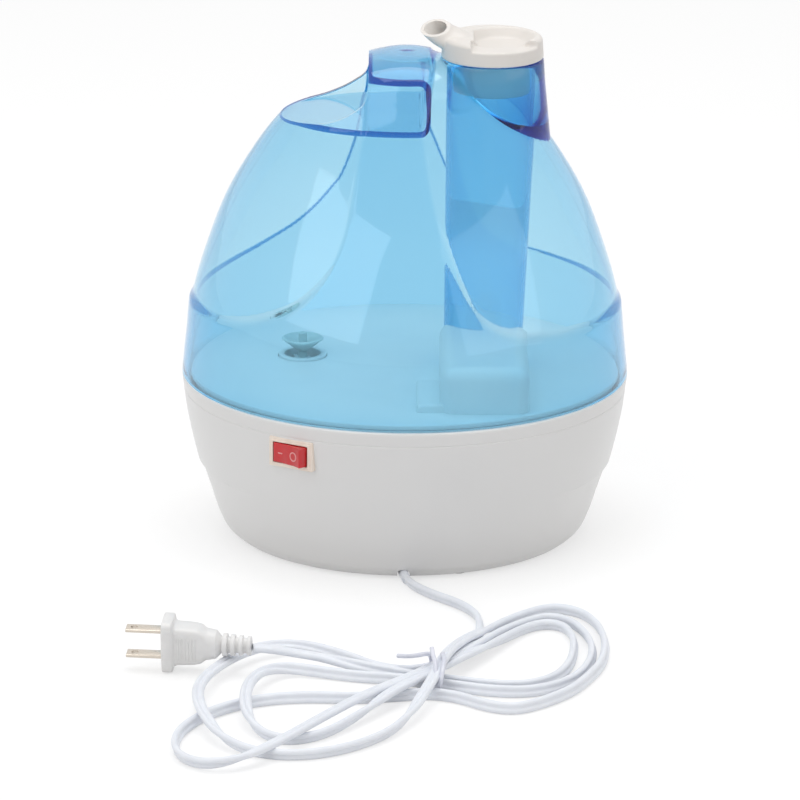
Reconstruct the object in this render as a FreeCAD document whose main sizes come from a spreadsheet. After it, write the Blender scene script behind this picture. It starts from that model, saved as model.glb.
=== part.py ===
import FreeCAD, Part
import math
import os
import re

import Sketcher

# Cool mist humidifier: a round white base with a rocker switch, and a lift-off
# water tank with a hand pocket, a mist chimney, a fill valve and a turning
# nozzle.  Millimetres, +Z up, the switch side faces -Y, the chimney is towards
# +X.  The origin is on the floor below the middle of the base.

V = FreeCAD.Vector
os.makedirs("parts", exist_ok=True)
doc = FreeCAD.newDocument("Humidifier")

SIZES = {
    # base shell
    "rim_radius": 108.3,
    "rim_height": 80.0,
    "foot_height": 2.0,
    "base_wall": 2.8,
    "grip_height": 37.0,
    "grip_bottom": 12.0,
    "grip_depth": 1.5,
    "grip_shift": 9.0,
    "lip_width": 12.0,
    "lip_thick": 2.5,
    "cover_thick": 2.0,
    # inside of the base
    "deck_level": 73.5,
    "deck_thick": 2.5,
    "well_radius": 30.0,
    "well_floor": 58.0,
    "cup_wall": 2.0,
    "mist_well_length": 54.0,
    "mist_well_width": 34.0,
    "mist_well_floor": 50.0,
    "disc_radius": 10.0,
    "disc_thick": 1.4,
    "pillar_radius": 4.0,
    "pillar_circle": 60.0,
    "duct_radius": 12.0,
    "fan_side": 42.0,
    "fan_height": 12.0,
    "float_radius": 10.0,
    "float_height": 9.0,
    "float_travel": 7.0,
    # switch
    "switch_width": 24.0,
    "switch_height": 14.6,
    "switch_level": 65.0,
    "switch_angle": 30.0,
    "switch_proud": 1.4,
    "rocker_width": 18.0,
    "rocker_height": 9.4,
    "rocker_tilt": 13.0,
    "rocker_corner": 22.0,
    "rocker_pivot": 0.5,
    # tank
    "seam_gap": 0.4,
    "tank_wall": 2.4,
    "crown_height": 239.5,
    "floor_thick": 2.5,
    "neck_offset": 41.0,
    "neck_radius": 24.6,
    "neck_flare": 4.6,
    "neck_top": 236.0,
    "chimney_offset": 37.6,
    "chimney_radius": 18.8,
    "chimney_wall": 1.8,
    "chimney_top_radius": 22.0,
    "hood_width": 42.0,
    "hood_front": 85.0,
    "hood_top": 105.0,
    "hood_wall": 2.0,
    "pocket_floor": 208.5,
    "pocket_roof": 228.0,
    "pocket_end": 9.0,
    "pocket_half": 46.0,
    "strap_edge": 18.5,
    "mouth_height": 207.7,
    "mouth_reach": 62.0,
    "mouth_rise": 11.3,
    # valve and fill cap
    "valve_x": -50.0,
    "valve_y": 12.0,
    "valve_bore": 8.8,
    "valve_ring": 11.7,
    "collar_radius": 17.0,
    "collar_wall": 2.5,
    "collar_drop": 10.0,
    "cap_wall": 2.4,
    "stem_radius": 2.2,
    "umbrella_radius": 10.5,
    "umbrella_rise": 7.0,
    # nozzle
    "cap_height": 10.3,
    "skirt_depth": 20.0,
    "skirt_wall": 1.6,
    "spout_reach": 20.0,
    "spout_rise": 12.4,
    "spout_mouth": 6.6,
    "spout_root": 10.5,
    "dish_radius": 17.5,
    "dish_depth": 4.0,
    # fits
    "slip": 0.4,
    "running": 0.06,
    # cord and plug
    "cord_width": 5.6,
    "plug_width": 25.0,
    "plug_thick": 17.0,
    "plug_body_width": 18.5,
    "plug_body_thick": 13.0,
    "plug_length": 24.0,
    "flange_thick": 5.0,
    "blade_gap": 12.7,
    "blade_length": 17.0,
    "blade_width": 6.3,
    "blade_thick": 1.5,
    "plug_roll": 7.0,
}

sheet = doc.addObject("Spreadsheet::Sheet", "Dims")
for row, (alias, value) in enumerate(SIZES.items(), start=1):
    sheet.set("A%d" % row, alias)
    sheet.set("B%d" % row, repr(value))
    sheet.setAlias("B%d" % row, alias)
doc.recompute()

parts = []


def dim(alias):
    """Value of a driving dimension, read back from the sheet."""
    return float(sheet.get(alias))


def cell(text):
    """Turns an expression on bare names into one on the sheet's cells."""
    return re.sub(r"[a-z]\w*", lambda m: "Dims." + m.group() if m.group() in SIZES else m.group(), text)


def bind(thing, **sizes):
    """Binds properties to expressions; x, y and z place the object."""
    places = {"x": "Placement.Base.x", "y": "Placement.Base.y", "z": "Placement.Base.z"}
    for name, text in sizes.items():
        thing.setExpression(places.get(name, name), cell(text))
    return thing


def cylinder(name, radius, height, x="0", y="0", z="0"):
    return bind(doc.addObject("Part::Cylinder", name), Radius=radius, Height=height, x=x, y=y, z=z)


def cone(name, low, high, height, x="0", y="0", z="0"):
    return bind(doc.addObject("Part::Cone", name), Radius1=low, Radius2=high, Height=height, x=x, y=y, z=z)


def box(name, length, width, height, x="0", y="0", z="0"):
    return bind(doc.addObject("Part::Box", name), Length=length, Width=width, Height=height, x=x, y=y, z=z)


def middle_box(name, length, width, height, x="0", y="0", z="0"):
    """A box centred on x and y, standing on z."""
    low_x = "( %s ) - ( %s ) / 2" % (x, length)
    low_y = "( %s ) - ( %s ) / 2" % (y, width)
    return box(name, length, width, height, low_x, low_y, z)


def cut(name, base, tool):
    thing = doc.addObject("Part::Cut", name)
    thing.Base, thing.Tool = base, tool
    return thing


def fuse(name, *shapes):
    thing = doc.addObject("Part::MultiFuse", name)
    thing.Shapes = list(shapes)
    return thing


def common(name, *shapes):
    thing = doc.addObject("Part::MultiCommon", name)
    thing.Shapes = list(shapes)
    return thing


def group(name, *shapes):
    """Separate solids kept as one node."""
    thing = doc.addObject("Part::Compound", name)
    thing.Links = list(shapes)
    return thing


def rounded(name, base, radius, pick):
    """Fillets the edges of a solid that pick accepts."""
    doc.recompute()
    thing = doc.addObject("Part::Fillet", name)
    thing.Base = base
    edges = [(i, radius, radius) for i, edge in enumerate(base.Shape.Edges, start=1) if pick(edge)]
    thing.Edges = edges
    return thing


def upright(edge):
    """True for a straight edge along Z."""
    ends = [v.Point for v in edge.Vertexes]
    return len(ends) == 2 and abs(ends[0].z - ends[1].z) > 0.9 * edge.Length


def loft(name, rings):
    """A smooth solid through level ovals given as (height, half x, half y, centre x)."""
    sections = []
    for i, (height, half_x, half_y, centre) in enumerate(rings):
        oval = doc.addObject("Part::Ellipse", "%s_ring_%d" % (name, i))
        bind(oval, MajorRadius=half_x, MinorRadius=half_y, x=centre, z=height)
        sections.append(oval)
    thing = doc.addObject("Part::Loft", name)
    thing.Sections = sections
    thing.Solid = True
    return thing


def value_of(text):
    """Number that an expression on the sheet's names gives."""
    return float(sheet.evalExpression(cell(text)))


def outline(body, name, role, corners):
    """A closed sketch through corners, each held by two bound distances."""
    plane = next(f for f in body.Origin.OriginFeatures if f.Role == role)
    sketch = body.newObject("Sketcher::SketchObject", name)
    sketch.AttachmentSupport = [(plane, "")]
    sketch.MapMode = "FlatFace"
    points = [V(value_of(a), value_of(b), 0) for a, b in corners]
    count = len(points)
    for i in range(count):
        sketch.addGeometry(Part.LineSegment(points[i], points[(i + 1) % count]), False)
    for i in range(count):
        sketch.addConstraint(Sketcher.Constraint("Coincident", i, 2, (i + 1) % count, 1))
    for i, corner in enumerate(corners):
        for kind, axis, text in (("DistanceX", -2, corner[0]), ("DistanceY", -1, corner[1])):
            value = value_of(text)
            if abs(value) < 1e-9:
                sketch.addConstraint(Sketcher.Constraint("PointOnObject", i, 1, axis))
            else:
                number = sketch.addConstraint(Sketcher.Constraint(kind, -1, 1, i, 1, value))
                sketch.setExpression("Constraints[%d]" % number, cell(text))
    return sketch


def revolved(name, corners):
    """A body whose (radius, height) outline is turned about Z."""
    body = doc.addObject("PartDesign::Body", name + "_body")
    sketch = outline(body, name + "_outline", "XZ_Plane", corners)
    turn = body.newObject("PartDesign::Revolution", name + "_turn")
    turn.Profile = sketch
    turn.ReferenceAxis = (sketch, ["V_Axis"])
    turn.Angle = 360
    return body


def padded(name, role, corners, length):
    """A body whose outline is padded both ways from an origin plane."""
    body = doc.addObject("PartDesign::Body", name + "_body")
    pad = body.newObject("PartDesign::Pad", name + "_pad")
    pad.Profile = outline(body, name + "_outline", role, corners)
    pad.Midplane = True
    pad.setExpression("Length", cell(length))
    return body


def node(thing, label):
    """Names a finished piece and lists it for export."""
    thing.Label = label
    parts.append(thing)
    return thing


def moved(name, thing, x="0", y="0", z="0", angle="0"):
    """A placed copy of the reference to a piece, turned about Z."""
    holder = group(name, thing)
    holder.Placement.Rotation = FreeCAD.Rotation(V(0, 0, 1), 1)
    holder.setExpression("Placement.Rotation.Angle", cell(angle))
    return bind(holder, x=x, y=y, z=z)


# ---------------------------------------------------------------- base shell

# (share of the wall's height, share of the rim radius) of the outer wall, from the foot up
BASE_CURVE = ((0.0, 0.757), (0.05, 0.803), (0.115, 0.834), (0.25, 0.882), (0.46, 0.93), (0.75, 0.977), (1.0, 1.0))
FOOT_SHARE = BASE_CURVE[0][1]


def base_rings(inset, lift):
    """Rings of the base wall, inset from the outer face, the lowest one lifted."""
    rings = []
    for share, width in BASE_CURVE:
        height = "foot_height + %s * ( rim_height - foot_height )" % share
        if share == 0.0:
            height = "foot_height + %s" % lift
        elif share == 1.0 and inset != "0":
            height += " + 1"
        radius = "%s * rim_radius - %s" % (width, inset)
        rings.append((height, radius, radius, "0"))
    return rings


def at_switch(name, thing, out):
    """Turns a piece drawn about the Z axis to the switch's side and moves it out."""
    return moved(name, thing, angle="- switch_angle",
                 x="- ( %s ) * sin( switch_angle )" % out,
                 y="- ( %s ) * cos( switch_angle )" % out)


# distance from the axis to the switch bezel's front
SWITCH_OUT = "0.982 * rim_radius + switch_proud"


def build_base_shell():
    outer = loft("shell_outer", base_rings("0", "0"))
    inner = loft("shell_inner", base_rings("base_wall", "lip_thick"))
    opening = cylinder("shell_opening", "%s * rim_radius - lip_width" % FOOT_SHARE, "lip_thick + 4",
                       z="foot_height - 2")
    hollow = cut("shell_hollow", outer, fuse("shell_hollows", inner, opening))
    # finger grips: below a ledge on each side the wall follows a shifted cone
    low = "0.834 * rim_radius + grip_shift"
    high = "0.925 * rim_radius - grip_depth + grip_shift"
    span = "grip_height - grip_bottom"
    left = cone("grip_left", low, high, span, x="grip_shift", z="grip_bottom")
    right = cone("grip_right", low, high, span, x="- grip_shift", z="grip_bottom")
    ring = cylinder("grip_ring", "rim_radius + 10", span, z="grip_bottom")
    gripped = cut("shell_gripped", hollow, cut("grip_cutter", ring, common("grip_keep", left, right)))
    seat = middle_box("switch_seat", "switch_width + 0.2", "6", "switch_height + 0.2", y="1",
                      z="switch_level - switch_height / 2 - 0.1")
    throat = middle_box("switch_throat", "switch_width - 3.4", "24", "switch_height - 2.8", y="12",
                        z="switch_level - switch_height / 2 + 0.9")
    window = at_switch("switch_window", fuse("switch_cutters", seat, throat), SWITCH_OUT)
    notch = middle_box("shell_notch", "cord_width + 3", "60", "cord_width + 1", y="20 - rim_radius", z="- 0.5")
    return node(cut("base_shell_done", gripped, fuse("shell_cutters", window, notch)), "base_shell")


def at_pillar(name, radius, height, index, z):
    """A cylinder on one of the four screw axes, clear of the mist well."""
    angle = math.radians((45, 135, 225, 285)[index])
    x = "pillar_circle * %s" % round(math.cos(angle), 6)
    y = "pillar_circle * %s" % round(math.sin(angle), 6)
    return cylinder(name, radius, height, x, y, z)


def build_cover():
    """Bottom cover with an air intake below the fan, screw holes and the cord notch."""
    plate = cylinder("cover_plate", "%s * rim_radius - lip_width - slip" % FOOT_SHARE, "cover_thick",
                     z="foot_height")
    cutters = []
    for i in range(5):
        cutters.append(middle_box("cover_slot_%d" % i, "fan_side - 16", "3", "cover_thick + 4",
                                  "chimney_offset", "%d" % (6 * i - 12), "foot_height - 2"))
    for i in range(4):
        cutters.append(at_pillar("cover_hole_%d" % i, "1.8", "cover_thick + 4", i, "foot_height - 2"))
    cutters.append(middle_box("cover_notch", "cord_width + 3", "64", "cover_thick + 4", y="20 - rim_radius",
                              z="foot_height - 2"))
    return node(cut("cover_done", plate, fuse("cover_cutters", *cutters)), "bottom_cover")


def build_feet():
    feet = []
    for i in range(4):
        angle = math.radians(20 + 90 * i)
        x = "( %s * rim_radius - 7 ) * %s" % (FOOT_SHARE, round(math.cos(angle), 6))
        y = "( %s * rim_radius - 7 ) * %s" % (FOOT_SHARE, round(math.sin(angle), 6))
        feet.append(cylinder("foot_%d" % i, "5", "foot_height", x, y))
    return node(group("feet", *feet), "rubber_feet")


def build_cover_screws():
    screws = []
    for i in range(4):
        head = at_pillar("screw_head_%d" % i, "3.2", "1.2", i, "foot_height - 1.2")
        shank = at_pillar("screw_shank_%d" % i, "1.25", "cover_thick + 8", i, "foot_height")
        screws.append(fuse("screw_%d" % i, head, shank))
    return node(group("screws", *screws), "cover_screws")


# ---------------------------------------------------------- inside of the base

MIST_Y = "12 + mist_well_length / 2 - hood_front"
FLOAT_Y = "-62"
FLOAT_LOW = "deck_level - float_height - float_travel"
COVER_TOP = "foot_height + cover_thick"
# underside of the tank's floor plate, and of the fill cap that hangs below it
PLATE_LOW = "rim_height + seam_gap"
CAP_LOW = "rim_height + seam_gap - collar_drop - cap_wall - 0.4"


def build_deck():
    """Reservoir deck: plate, three wells, air duct, screw pillars and valve post."""
    plate_low = "deck_level - deck_thick"
    plate = cylinder("deck_plate", "0.965 * rim_radius - base_wall", "deck_thick", z=plate_low)
    well = cylinder("well_cup", "well_radius", "deck_level - well_floor + cup_wall", "valve_x", "valve_y",
                    "well_floor - cup_wall")
    mist = middle_box("mist_cup", "mist_well_width + 2 * cup_wall", "mist_well_length + 2 * cup_wall",
                      "deck_level - mist_well_floor + cup_wall", "chimney_offset", MIST_Y,
                      "mist_well_floor - cup_wall")
    floater = cylinder("float_cup", "float_radius + 1.5 + cup_wall", "float_height + float_travel + cup_wall",
                       "0", FLOAT_Y, "%s - cup_wall" % FLOAT_LOW)
    duct = cylinder("duct_wall", "duct_radius + cup_wall", "rim_height - 11 - fan_height", "chimney_offset", "0",
                    "fan_height + 8")
    pillars = []
    for i in range(4):
        pillars.append(at_pillar("pillar_%d" % i, "pillar_radius", "%s - foot_height - cover_thick" % plate_low, i,
                                 COVER_TOP))
    solid = fuse("deck_solid", plate, well, mist, floater, duct, *pillars)
    bores = [
        cylinder("well_bore", "well_radius - cup_wall", "40", "valve_x", "valve_y", "well_floor"),
        middle_box("mist_bore", "mist_well_width", "mist_well_length", "60", "chimney_offset", MIST_Y,
                   "mist_well_floor"),
        cylinder("float_bore", "float_radius + 1.5", "40", "0", FLOAT_Y, FLOAT_LOW),
        cylinder("duct_bore", "duct_radius", "90", "chimney_offset", "0", "0"),
        cylinder("disc_bore", "disc_radius + 3", "12", "chimney_offset", MIST_Y, "mist_well_floor - 8"),
        middle_box("water_channel", "10", "60", "20", "-26", "-24", "deck_level - 8"),
    ]
    for i in range(4):
        bores.append(at_pillar("pillar_bore_%d" % i, "1.25", "12", i, "0"))
    hollow = cut("deck_hollow", solid, fuse("deck_bores", *bores))
    post = cylinder("valve_post", "stem_radius", "%s - 2 - running - well_floor" % CAP_LOW, "valve_x", "valve_y",
                    "well_floor")
    guide = cylinder("float_guide", "3", "float_height + float_travel - 1", "0", FLOAT_Y, FLOAT_LOW)
    return node(fuse("deck_done", hollow, post, guide), "base_deck")


def build_transducer():
    """Piezo disc, its seal, and the clamp ring that holds both under the mist well."""
    low = "mist_well_floor - cup_wall"
    disc = cylinder("disc", "disc_radius", "disc_thick", "chimney_offset", MIST_Y, "%s - disc_thick" % low)
    node(disc, "transducer_disc")
    ring = cylinder("seal_outer", "disc_radius + 3", "disc_thick + 1", "chimney_offset", MIST_Y,
                    "%s - disc_thick - 1" % low)
    hole = cylinder("seal_hole", "disc_radius", "disc_thick", "chimney_offset", MIST_Y, "%s - disc_thick" % low)
    through = cylinder("seal_through", "disc_radius - 2", "10", "chimney_offset", MIST_Y, "%s - 5" % low)
    node(cut("seal", ring, fuse("seal_bores", hole, through)), "transducer_seal")
    plate = cylinder("clamp_plate", "disc_radius + 5", "2", "chimney_offset", MIST_Y, "%s - disc_thick - 3" % low)
    opening = cylinder("clamp_hole", "disc_radius - 2", "6", "chimney_offset", MIST_Y, "%s - disc_thick - 5" % low)
    node(cut("clamp", plate, opening), "transducer_clamp")


def build_electronics():
    """Driver board with its heat sink, on the bottom cover, left of the fan."""
    board = middle_box("board", "60", "38", "1.6", "-26", "10", "%s + 5" % COVER_TOP)
    legs = [cylinder("board_leg_%d" % i, "2.5", "5", "%d" % (-26 + 24 * (1 if i % 2 else -1)),
                     "%d" % (10 + 13 * (1 if i < 2 else -1)), COVER_TOP) for i in range(4)]
    node(fuse("board_done", board, *legs), "driver_board")
    sink = middle_box("sink", "26", "14", "18", "-30", "14", "%s + 6.6" % COVER_TOP)
    gaps = [middle_box("sink_gap_%d" % i, "2.2", "20", "20", "%s" % (-38.4 + 4.2 * i), "14",
                       "%s + 9.6" % COVER_TOP) for i in range(5)]
    node(cut("sink_done", sink, fuse("sink_gaps", *gaps)), "heat_sink")


def build_fan():
    """Axial fan between the intake slots and the air duct: frame and rotor."""
    low = COVER_TOP
    frame = middle_box("fan_block", "fan_side", "fan_side", "fan_height", "chimney_offset", "0", low)
    bore = cylinder("fan_bore", "fan_side / 2 - 2", "40", "chimney_offset", "0", "%s - 5" % low)
    strut = middle_box("fan_strut", "fan_side - 2", "4", "1.5", "chimney_offset", "0", "%s" % low)
    hub = cylinder("fan_seat", "8", "1.5", "chimney_offset", "0", low)
    pin = cylinder("fan_pin", "1.5", "fan_height - 3", "chimney_offset", "0", low)
    node(fuse("fan_frame_done", cut("fan_frame_cut", frame, bore), strut, hub, pin), "fan_frame")
    drum = cylinder("rotor_hub", "7.5", "fan_height - 4", "chimney_offset", "0", "%s + 2" % low)
    blades = []
    for i in range(7):
        blade = box("rotor_blade_%d" % i, "fan_side / 2 - 9", "1.2", "fan_height - 5", "6", z="2.5")
        holder = moved("rotor_blade_at_%d" % i, blade, "chimney_offset", "0", low, "%s" % (i * 360.0 / 7))
        blades.append(holder)
    bearing = cylinder("rotor_bore", "1.5 + running", "30", "chimney_offset", "0", low)
    node(cut("rotor_done", fuse("rotor_solid", drum, *blades), bearing), "fan_rotor")


def build_float():
    body = cylinder("float_body", "float_radius", "float_height", "0", FLOAT_Y, "%s + 0.3" % FLOAT_LOW)
    bore = cylinder("float_hole", "3 + 5 * running", "float_height + 4", "0", FLOAT_Y, "%s - 1" % FLOAT_LOW)
    node(cut("float_done", body, bore), "float_ring")


# -------------------------------------------------------------------- switch


def build_switch():
    """Bezel with its housing, two blade terminals, and the rocker on its pins."""
    low = "switch_level - switch_height / 2"
    bezel = middle_box("bezel_plate", "switch_width", "4", "switch_height", y="2", z=low)
    housing = middle_box("housing_block", "switch_width - 3.6", "18", "switch_height - 3", y="11", z="%s + 1" % low)
    hollow = middle_box("rocker_room", "rocker_width + 2 * slip", "14", "rocker_height + 2 * slip", y="3",
                        z="switch_level - rocker_height / 2 - slip")
    pivot = cylinder("pivot_bore", "1.2 + running", "rocker_height + 2.8", y="rocker_pivot",
                     z="switch_level - rocker_height / 2 - 1.4")
    frame = cut("bezel_done", fuse("bezel_solid", bezel, housing), fuse("bezel_cutters", hollow, pivot))
    node(at_switch("bezel_at", frame, SWITCH_OUT), "switch_housing")
    tabs = [middle_box("tab_%d" % i, "0.8", "8", "4.8", "%d" % x, "24", "switch_level - 2.4")
            for i, x in enumerate((-5, 5))]
    node(at_switch("tabs_at", group("tabs", *tabs), SWITCH_OUT), "switch_terminals")
    # the paddle: its end walls are arcs about the pivot, the left end pressed in and the right end out
    out, pressed = "( rocker_corner + rocker_tilt )", "( rocker_corner - rocker_tilt )"
    corners = [on_arc("- ", pressed), ("- 0.4", "rocker_pivot - 2.7"), on_arc("", out), on_arc("", "17"),
               on_arc("", "0"), on_arc("", "( 0 - 18 )"), ("4", "rocker_pivot + 5"),
               ("- 4", "rocker_pivot + 5"), on_arc("- ", "( 0 - 18 )"), on_arc("- ", "0")]
    paddle = padded("paddle", "XY_Plane", corners, "rocker_height")
    pin = cylinder("paddle_pin", "1.2", "rocker_height + 2.2", y="rocker_pivot", z="- rocker_height / 2 - 1.1")
    lifted = moved("paddle_lifted", fuse("paddle_solid", paddle, pin), z="switch_level")
    node(at_switch("paddle_at", lifted, SWITCH_OUT), "switch_rocker")


def on_arc(side, angle):
    """A point of the paddle's end wall: its angle out of the bezel's plane, seen from the pivot."""
    reach = "%srocker_width / 2 * cos( %s )" % (side, angle)
    return reach, "rocker_pivot - rocker_width / 2 * sin( %s )" % angle


# ---------------------------------------------------------------------- tank

# (share of the height above the rim, share of the rim radius in x and in y, wall factor)
DOME_CURVE = (
    (0.0, 1.0, 0.99, 1.0),
    (0.12, 0.982, 0.967, 1.0),
    (0.25, 0.961, 0.938, 1.02),
    (0.4, 0.897, 0.86, 1.05),
    (0.55, 0.812, 0.74, 1.1),
    (0.69, 0.694, 0.575, 1.2),
    (0.8, 0.572, 0.425, 1.35),
    (0.89, 0.42, 0.335, 1.6),
    (0.955, 0.28, 0.25, 2.0),
    (1.0, 0.13, 0.11, 1.0),
)


def dome_rings(wall):
    """Rings of the dome; with a wall they give the water space inside it."""
    rings = []
    bottom = "( rim_height + seam_gap )"
    for share, wide, deep, factor in DOME_CURVE:
        height = "%s + %s * ( crown_height - rim_height - seam_gap )" % (bottom, share)
        if share == 1.0:
            height += " - %s" % wall
        if share == 0.0 and wall != "0":
            height += " - 1"
        rings.append((height, "%s * rim_radius - %s * ( %s )" % (wide, factor, wall),
                      "%s * rim_radius - %s * ( %s )" % (deep, factor, wall), "0"))
    return rings


def build_pocket(name, grow, inside=None):
    """The hand pocket: a sloped mouth left of the strap and a slot below it, kept inside a shape."""
    slope = "( mouth_rise / ( mouth_reach - strap_edge ) )"
    edge = "( - strap_edge + %s )" % grow
    far = "( - 1.4 * mouth_reach )"
    corners = [
        (far, "mouth_height - %s * ( 0.4 * mouth_reach ) - %s" % (slope, grow)),
        (edge, "mouth_height + mouth_rise - %s" % grow),
        (edge, "crown_height + 10"),
        (far, "crown_height + 10"),
    ]
    wedge = padded(name + "_wedge", "XZ_Plane", corners, "1.6 * rim_radius")
    slot = box(name + "_slot", "mouth_reach + 8 + pocket_end + %s" % grow, "2 * pocket_half",
               "pocket_roof - pocket_floor + 2 * %s" % grow, "- mouth_reach - 8", "- pocket_half",
               "pocket_floor - %s" % grow)
    soft = rounded(name + "_soft", slot, 3.5, lambda e: abs(e.tangentAt(e.FirstParameter).y) > 0.9
                   and e.Vertexes[0].Point.x > 0)
    return fuse(name, wedge, soft if inside is None else common(name + "_kept", soft, inside))


def build_dome():
    """Clear blue tank: oval dome, strap handle over a hand pocket, and the neck."""
    outer = loft("dome_outer", dome_rings("0"))
    water = loft("dome_water", dome_rings("tank_wall"))
    neck = cone("neck_outer", "neck_radius + neck_flare", "neck_radius", "neck_top - 188", "neck_offset", "0", "188")
    kept = cut("water_kept", water, build_pocket("pocket_skin", "tank_wall"))
    shell = cut("dome_shell", fuse("dome_and_neck", outer, neck), kept)
    open_pocket = cut("dome_open", shell, build_pocket("pocket", "0", water))
    bore = build_chimney_solid("neck_bore", "running", "30")
    above = cylinder("neck_clearance", "neck_radius + 1", "30", "neck_offset", "0", "neck_top")
    return node(cut("dome_done", open_pocket, fuse("dome_bores", bore, above)), "tank_dome")


def build_chimney_solid(name, grow, extra):
    """The chimney's outer shape, grown for a bore or shrunk for the flue."""
    top = "chimney_top_radius + %s" % grow
    rings = [
        ("%s" % PLATE_LOW, "chimney_radius + %s" % grow, "chimney_radius + %s" % grow, "chimney_offset"),
        ("neck_top", top, top, "neck_offset"),
    ]
    tube = loft(name + "_taper", rings)
    if extra == "0":
        return tube
    cap = cylinder(name + "_end", top, extra, "neck_offset", "0", "neck_top")
    return fuse(name, tube, cap)


def build_chimney():
    """Mist chimney: a tapered tube from the tank's floor to the neck, open to the hood."""
    outer = build_chimney_solid("chimney_outer", "0", "0")
    flue = build_chimney_solid("chimney_flue", "- chimney_wall", "0")
    port = middle_box("chimney_port", "hood_width - 18", "24", "hood_top - hood_wall - rim_height - 6",
                      "chimney_offset", "- chimney_radius", "rim_height + 5")
    return node(cut("chimney_done", outer, fuse("chimney_cutters", flue, port)), "mist_chimney")


def build_tank_floor():
    """White floor of the tank with the mist hood, the fill collar and a locating skirt."""
    plate = cylinder("floor_plate", "0.99 * rim_radius - tank_wall - 1.2", "floor_thick", z=PLATE_LOW)
    skirt = cylinder("floor_skirt", "rim_radius - base_wall - 2 * slip - 2.5", "4 + floor_thick / 2",
                     z="%s - 4" % PLATE_LOW)
    hood = middle_box("hood_box", "hood_width", "hood_front", "hood_top - rim_height - seam_gap", "chimney_offset",
                      "- hood_front / 2", PLATE_LOW)
    hood_soft = rounded("hood_soft", hood, 7.0, upright)
    step = middle_box("hood_step", "15", "42", "floor_thick + 4", "chimney_offset - hood_width / 2 - 3.5",
                      "- hood_front + 23", PLATE_LOW)
    collar = cylinder("fill_collar", "collar_radius + collar_wall", "collar_drop + floor_thick / 2", "valve_x",
                      "valve_y", "%s - collar_drop" % PLATE_LOW)
    solid = fuse("floor_solid", plate, skirt, hood_soft, step, collar)
    inside = middle_box("hood_inside", "hood_width - 2 * hood_wall", "hood_front - 2 * hood_wall",
                        "hood_top - hood_wall - rim_height + 10", "chimney_offset", "- hood_front / 2",
                        "rim_height - 10")
    skirt_in = cylinder("skirt_inside", "rim_radius - base_wall - 2 * slip - 4.5", "10", z="%s - 10" % PLATE_LOW)
    lump = cylinder("collar_keep", "collar_radius + collar_wall", "22", "valve_x", "valve_y", "rim_height - 20")
    bores = [
        rounded("hood_inside_soft", inside, 5.0, upright),
        cut("skirt_cutter", skirt_in, lump),
        cylinder("collar_bore", "collar_radius", "collar_drop + 6", "valve_x", "valve_y",
                 "%s - collar_drop - 6" % PLATE_LOW),
        cylinder("fill_hole", "valve_ring + slip", "20", "valve_x", "valve_y", "rim_height - 5"),
        build_chimney_solid("floor_bore", "0", "0"),
        cylinder("flue_hole", "chimney_radius - 1", "30", "chimney_offset", "0", "rim_height - 20"),
    ]
    return node(cut("floor_done", solid, fuse("floor_bores", *bores)), "tank_floor")


# ---------------------------------------------------- fill cap, valve, nozzle


def build_fill_cap():
    """Cap on the fill collar: cup with a central water tube that the plunger closes."""
    low = CAP_LOW
    wall_in = "collar_radius + collar_wall + slip"
    wall_out = "collar_radius + collar_wall + slip + cap_wall"
    top = "%s - 2" % PLATE_LOW
    cup = revolved("cup", [
        ("stem_radius + 1.8", low),
        (wall_out, low),
        (wall_out, top),
        (wall_in, top),
        (wall_in, "%s + cap_wall" % low),
        ("valve_ring", "%s + cap_wall" % low),
        ("valve_ring", "%s + floor_thick + 1.2" % PLATE_LOW),
        ("valve_bore", "%s + floor_thick + 1.2" % PLATE_LOW),
        ("valve_bore", "%s + cap_wall" % low),
        ("stem_radius + 1.8", "%s + cap_wall" % low),
    ])
    spokes = []
    for i in range(3):
        blade = box("spoke_%d" % i, "valve_bore - stem_radius", "1.4", "3", "stem_radius + 0.4", "-0.7", "-1")
        spokes.append(moved("spoke_at_%d" % i, blade, z="rim_height - 1", angle="%d" % (120 * i)))
    guide = cylinder("guide_outer", "stem_radius + 1.6", "5", z="rim_height - 3")
    solid = fuse("cap_solid", cup, guide, *spokes)
    bore = cylinder("guide_bore", "stem_radius + running", "60", z="rim_height - 30")
    node(moved("fill_cap_at", cut("cap_done", solid, bore), "valve_x", "valve_y"), "fill_cap")
    ring = cylinder("gasket_outer", "collar_radius + collar_wall - 0.2", "0.4", "valve_x", "valve_y",
                    "%s + cap_wall" % low)
    hole = cylinder("gasket_hole", "collar_radius + 0.2", "4", "valve_x", "valve_y", low)
    node(cut("gasket", ring, hole), "cap_gasket")


def build_valve():
    """Valve plunger standing on the post of the base, its umbrella lifted off the ring."""
    foot = "%s - 2" % CAP_LOW
    ring_top = "( %s + floor_thick + 1.2 )" % PLATE_LOW
    plunger = revolved("plunger", [
        ("0", foot),
        ("stem_radius", foot),
        ("stem_radius", "%s + 1" % ring_top),
        ("umbrella_radius", "%s + 1 + umbrella_rise" % ring_top),
        ("umbrella_radius - 1.2", "%s + 1 + umbrella_rise" % ring_top),
        ("stem_radius", "%s + 2.6" % ring_top),
        ("stem_radius", "%s + umbrella_rise + 4" % ring_top),
        ("0", "%s + umbrella_rise + 4" % ring_top),
    ])
    node(moved("plunger_at", plunger, "valve_x", "valve_y"), "valve_plunger")


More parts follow.
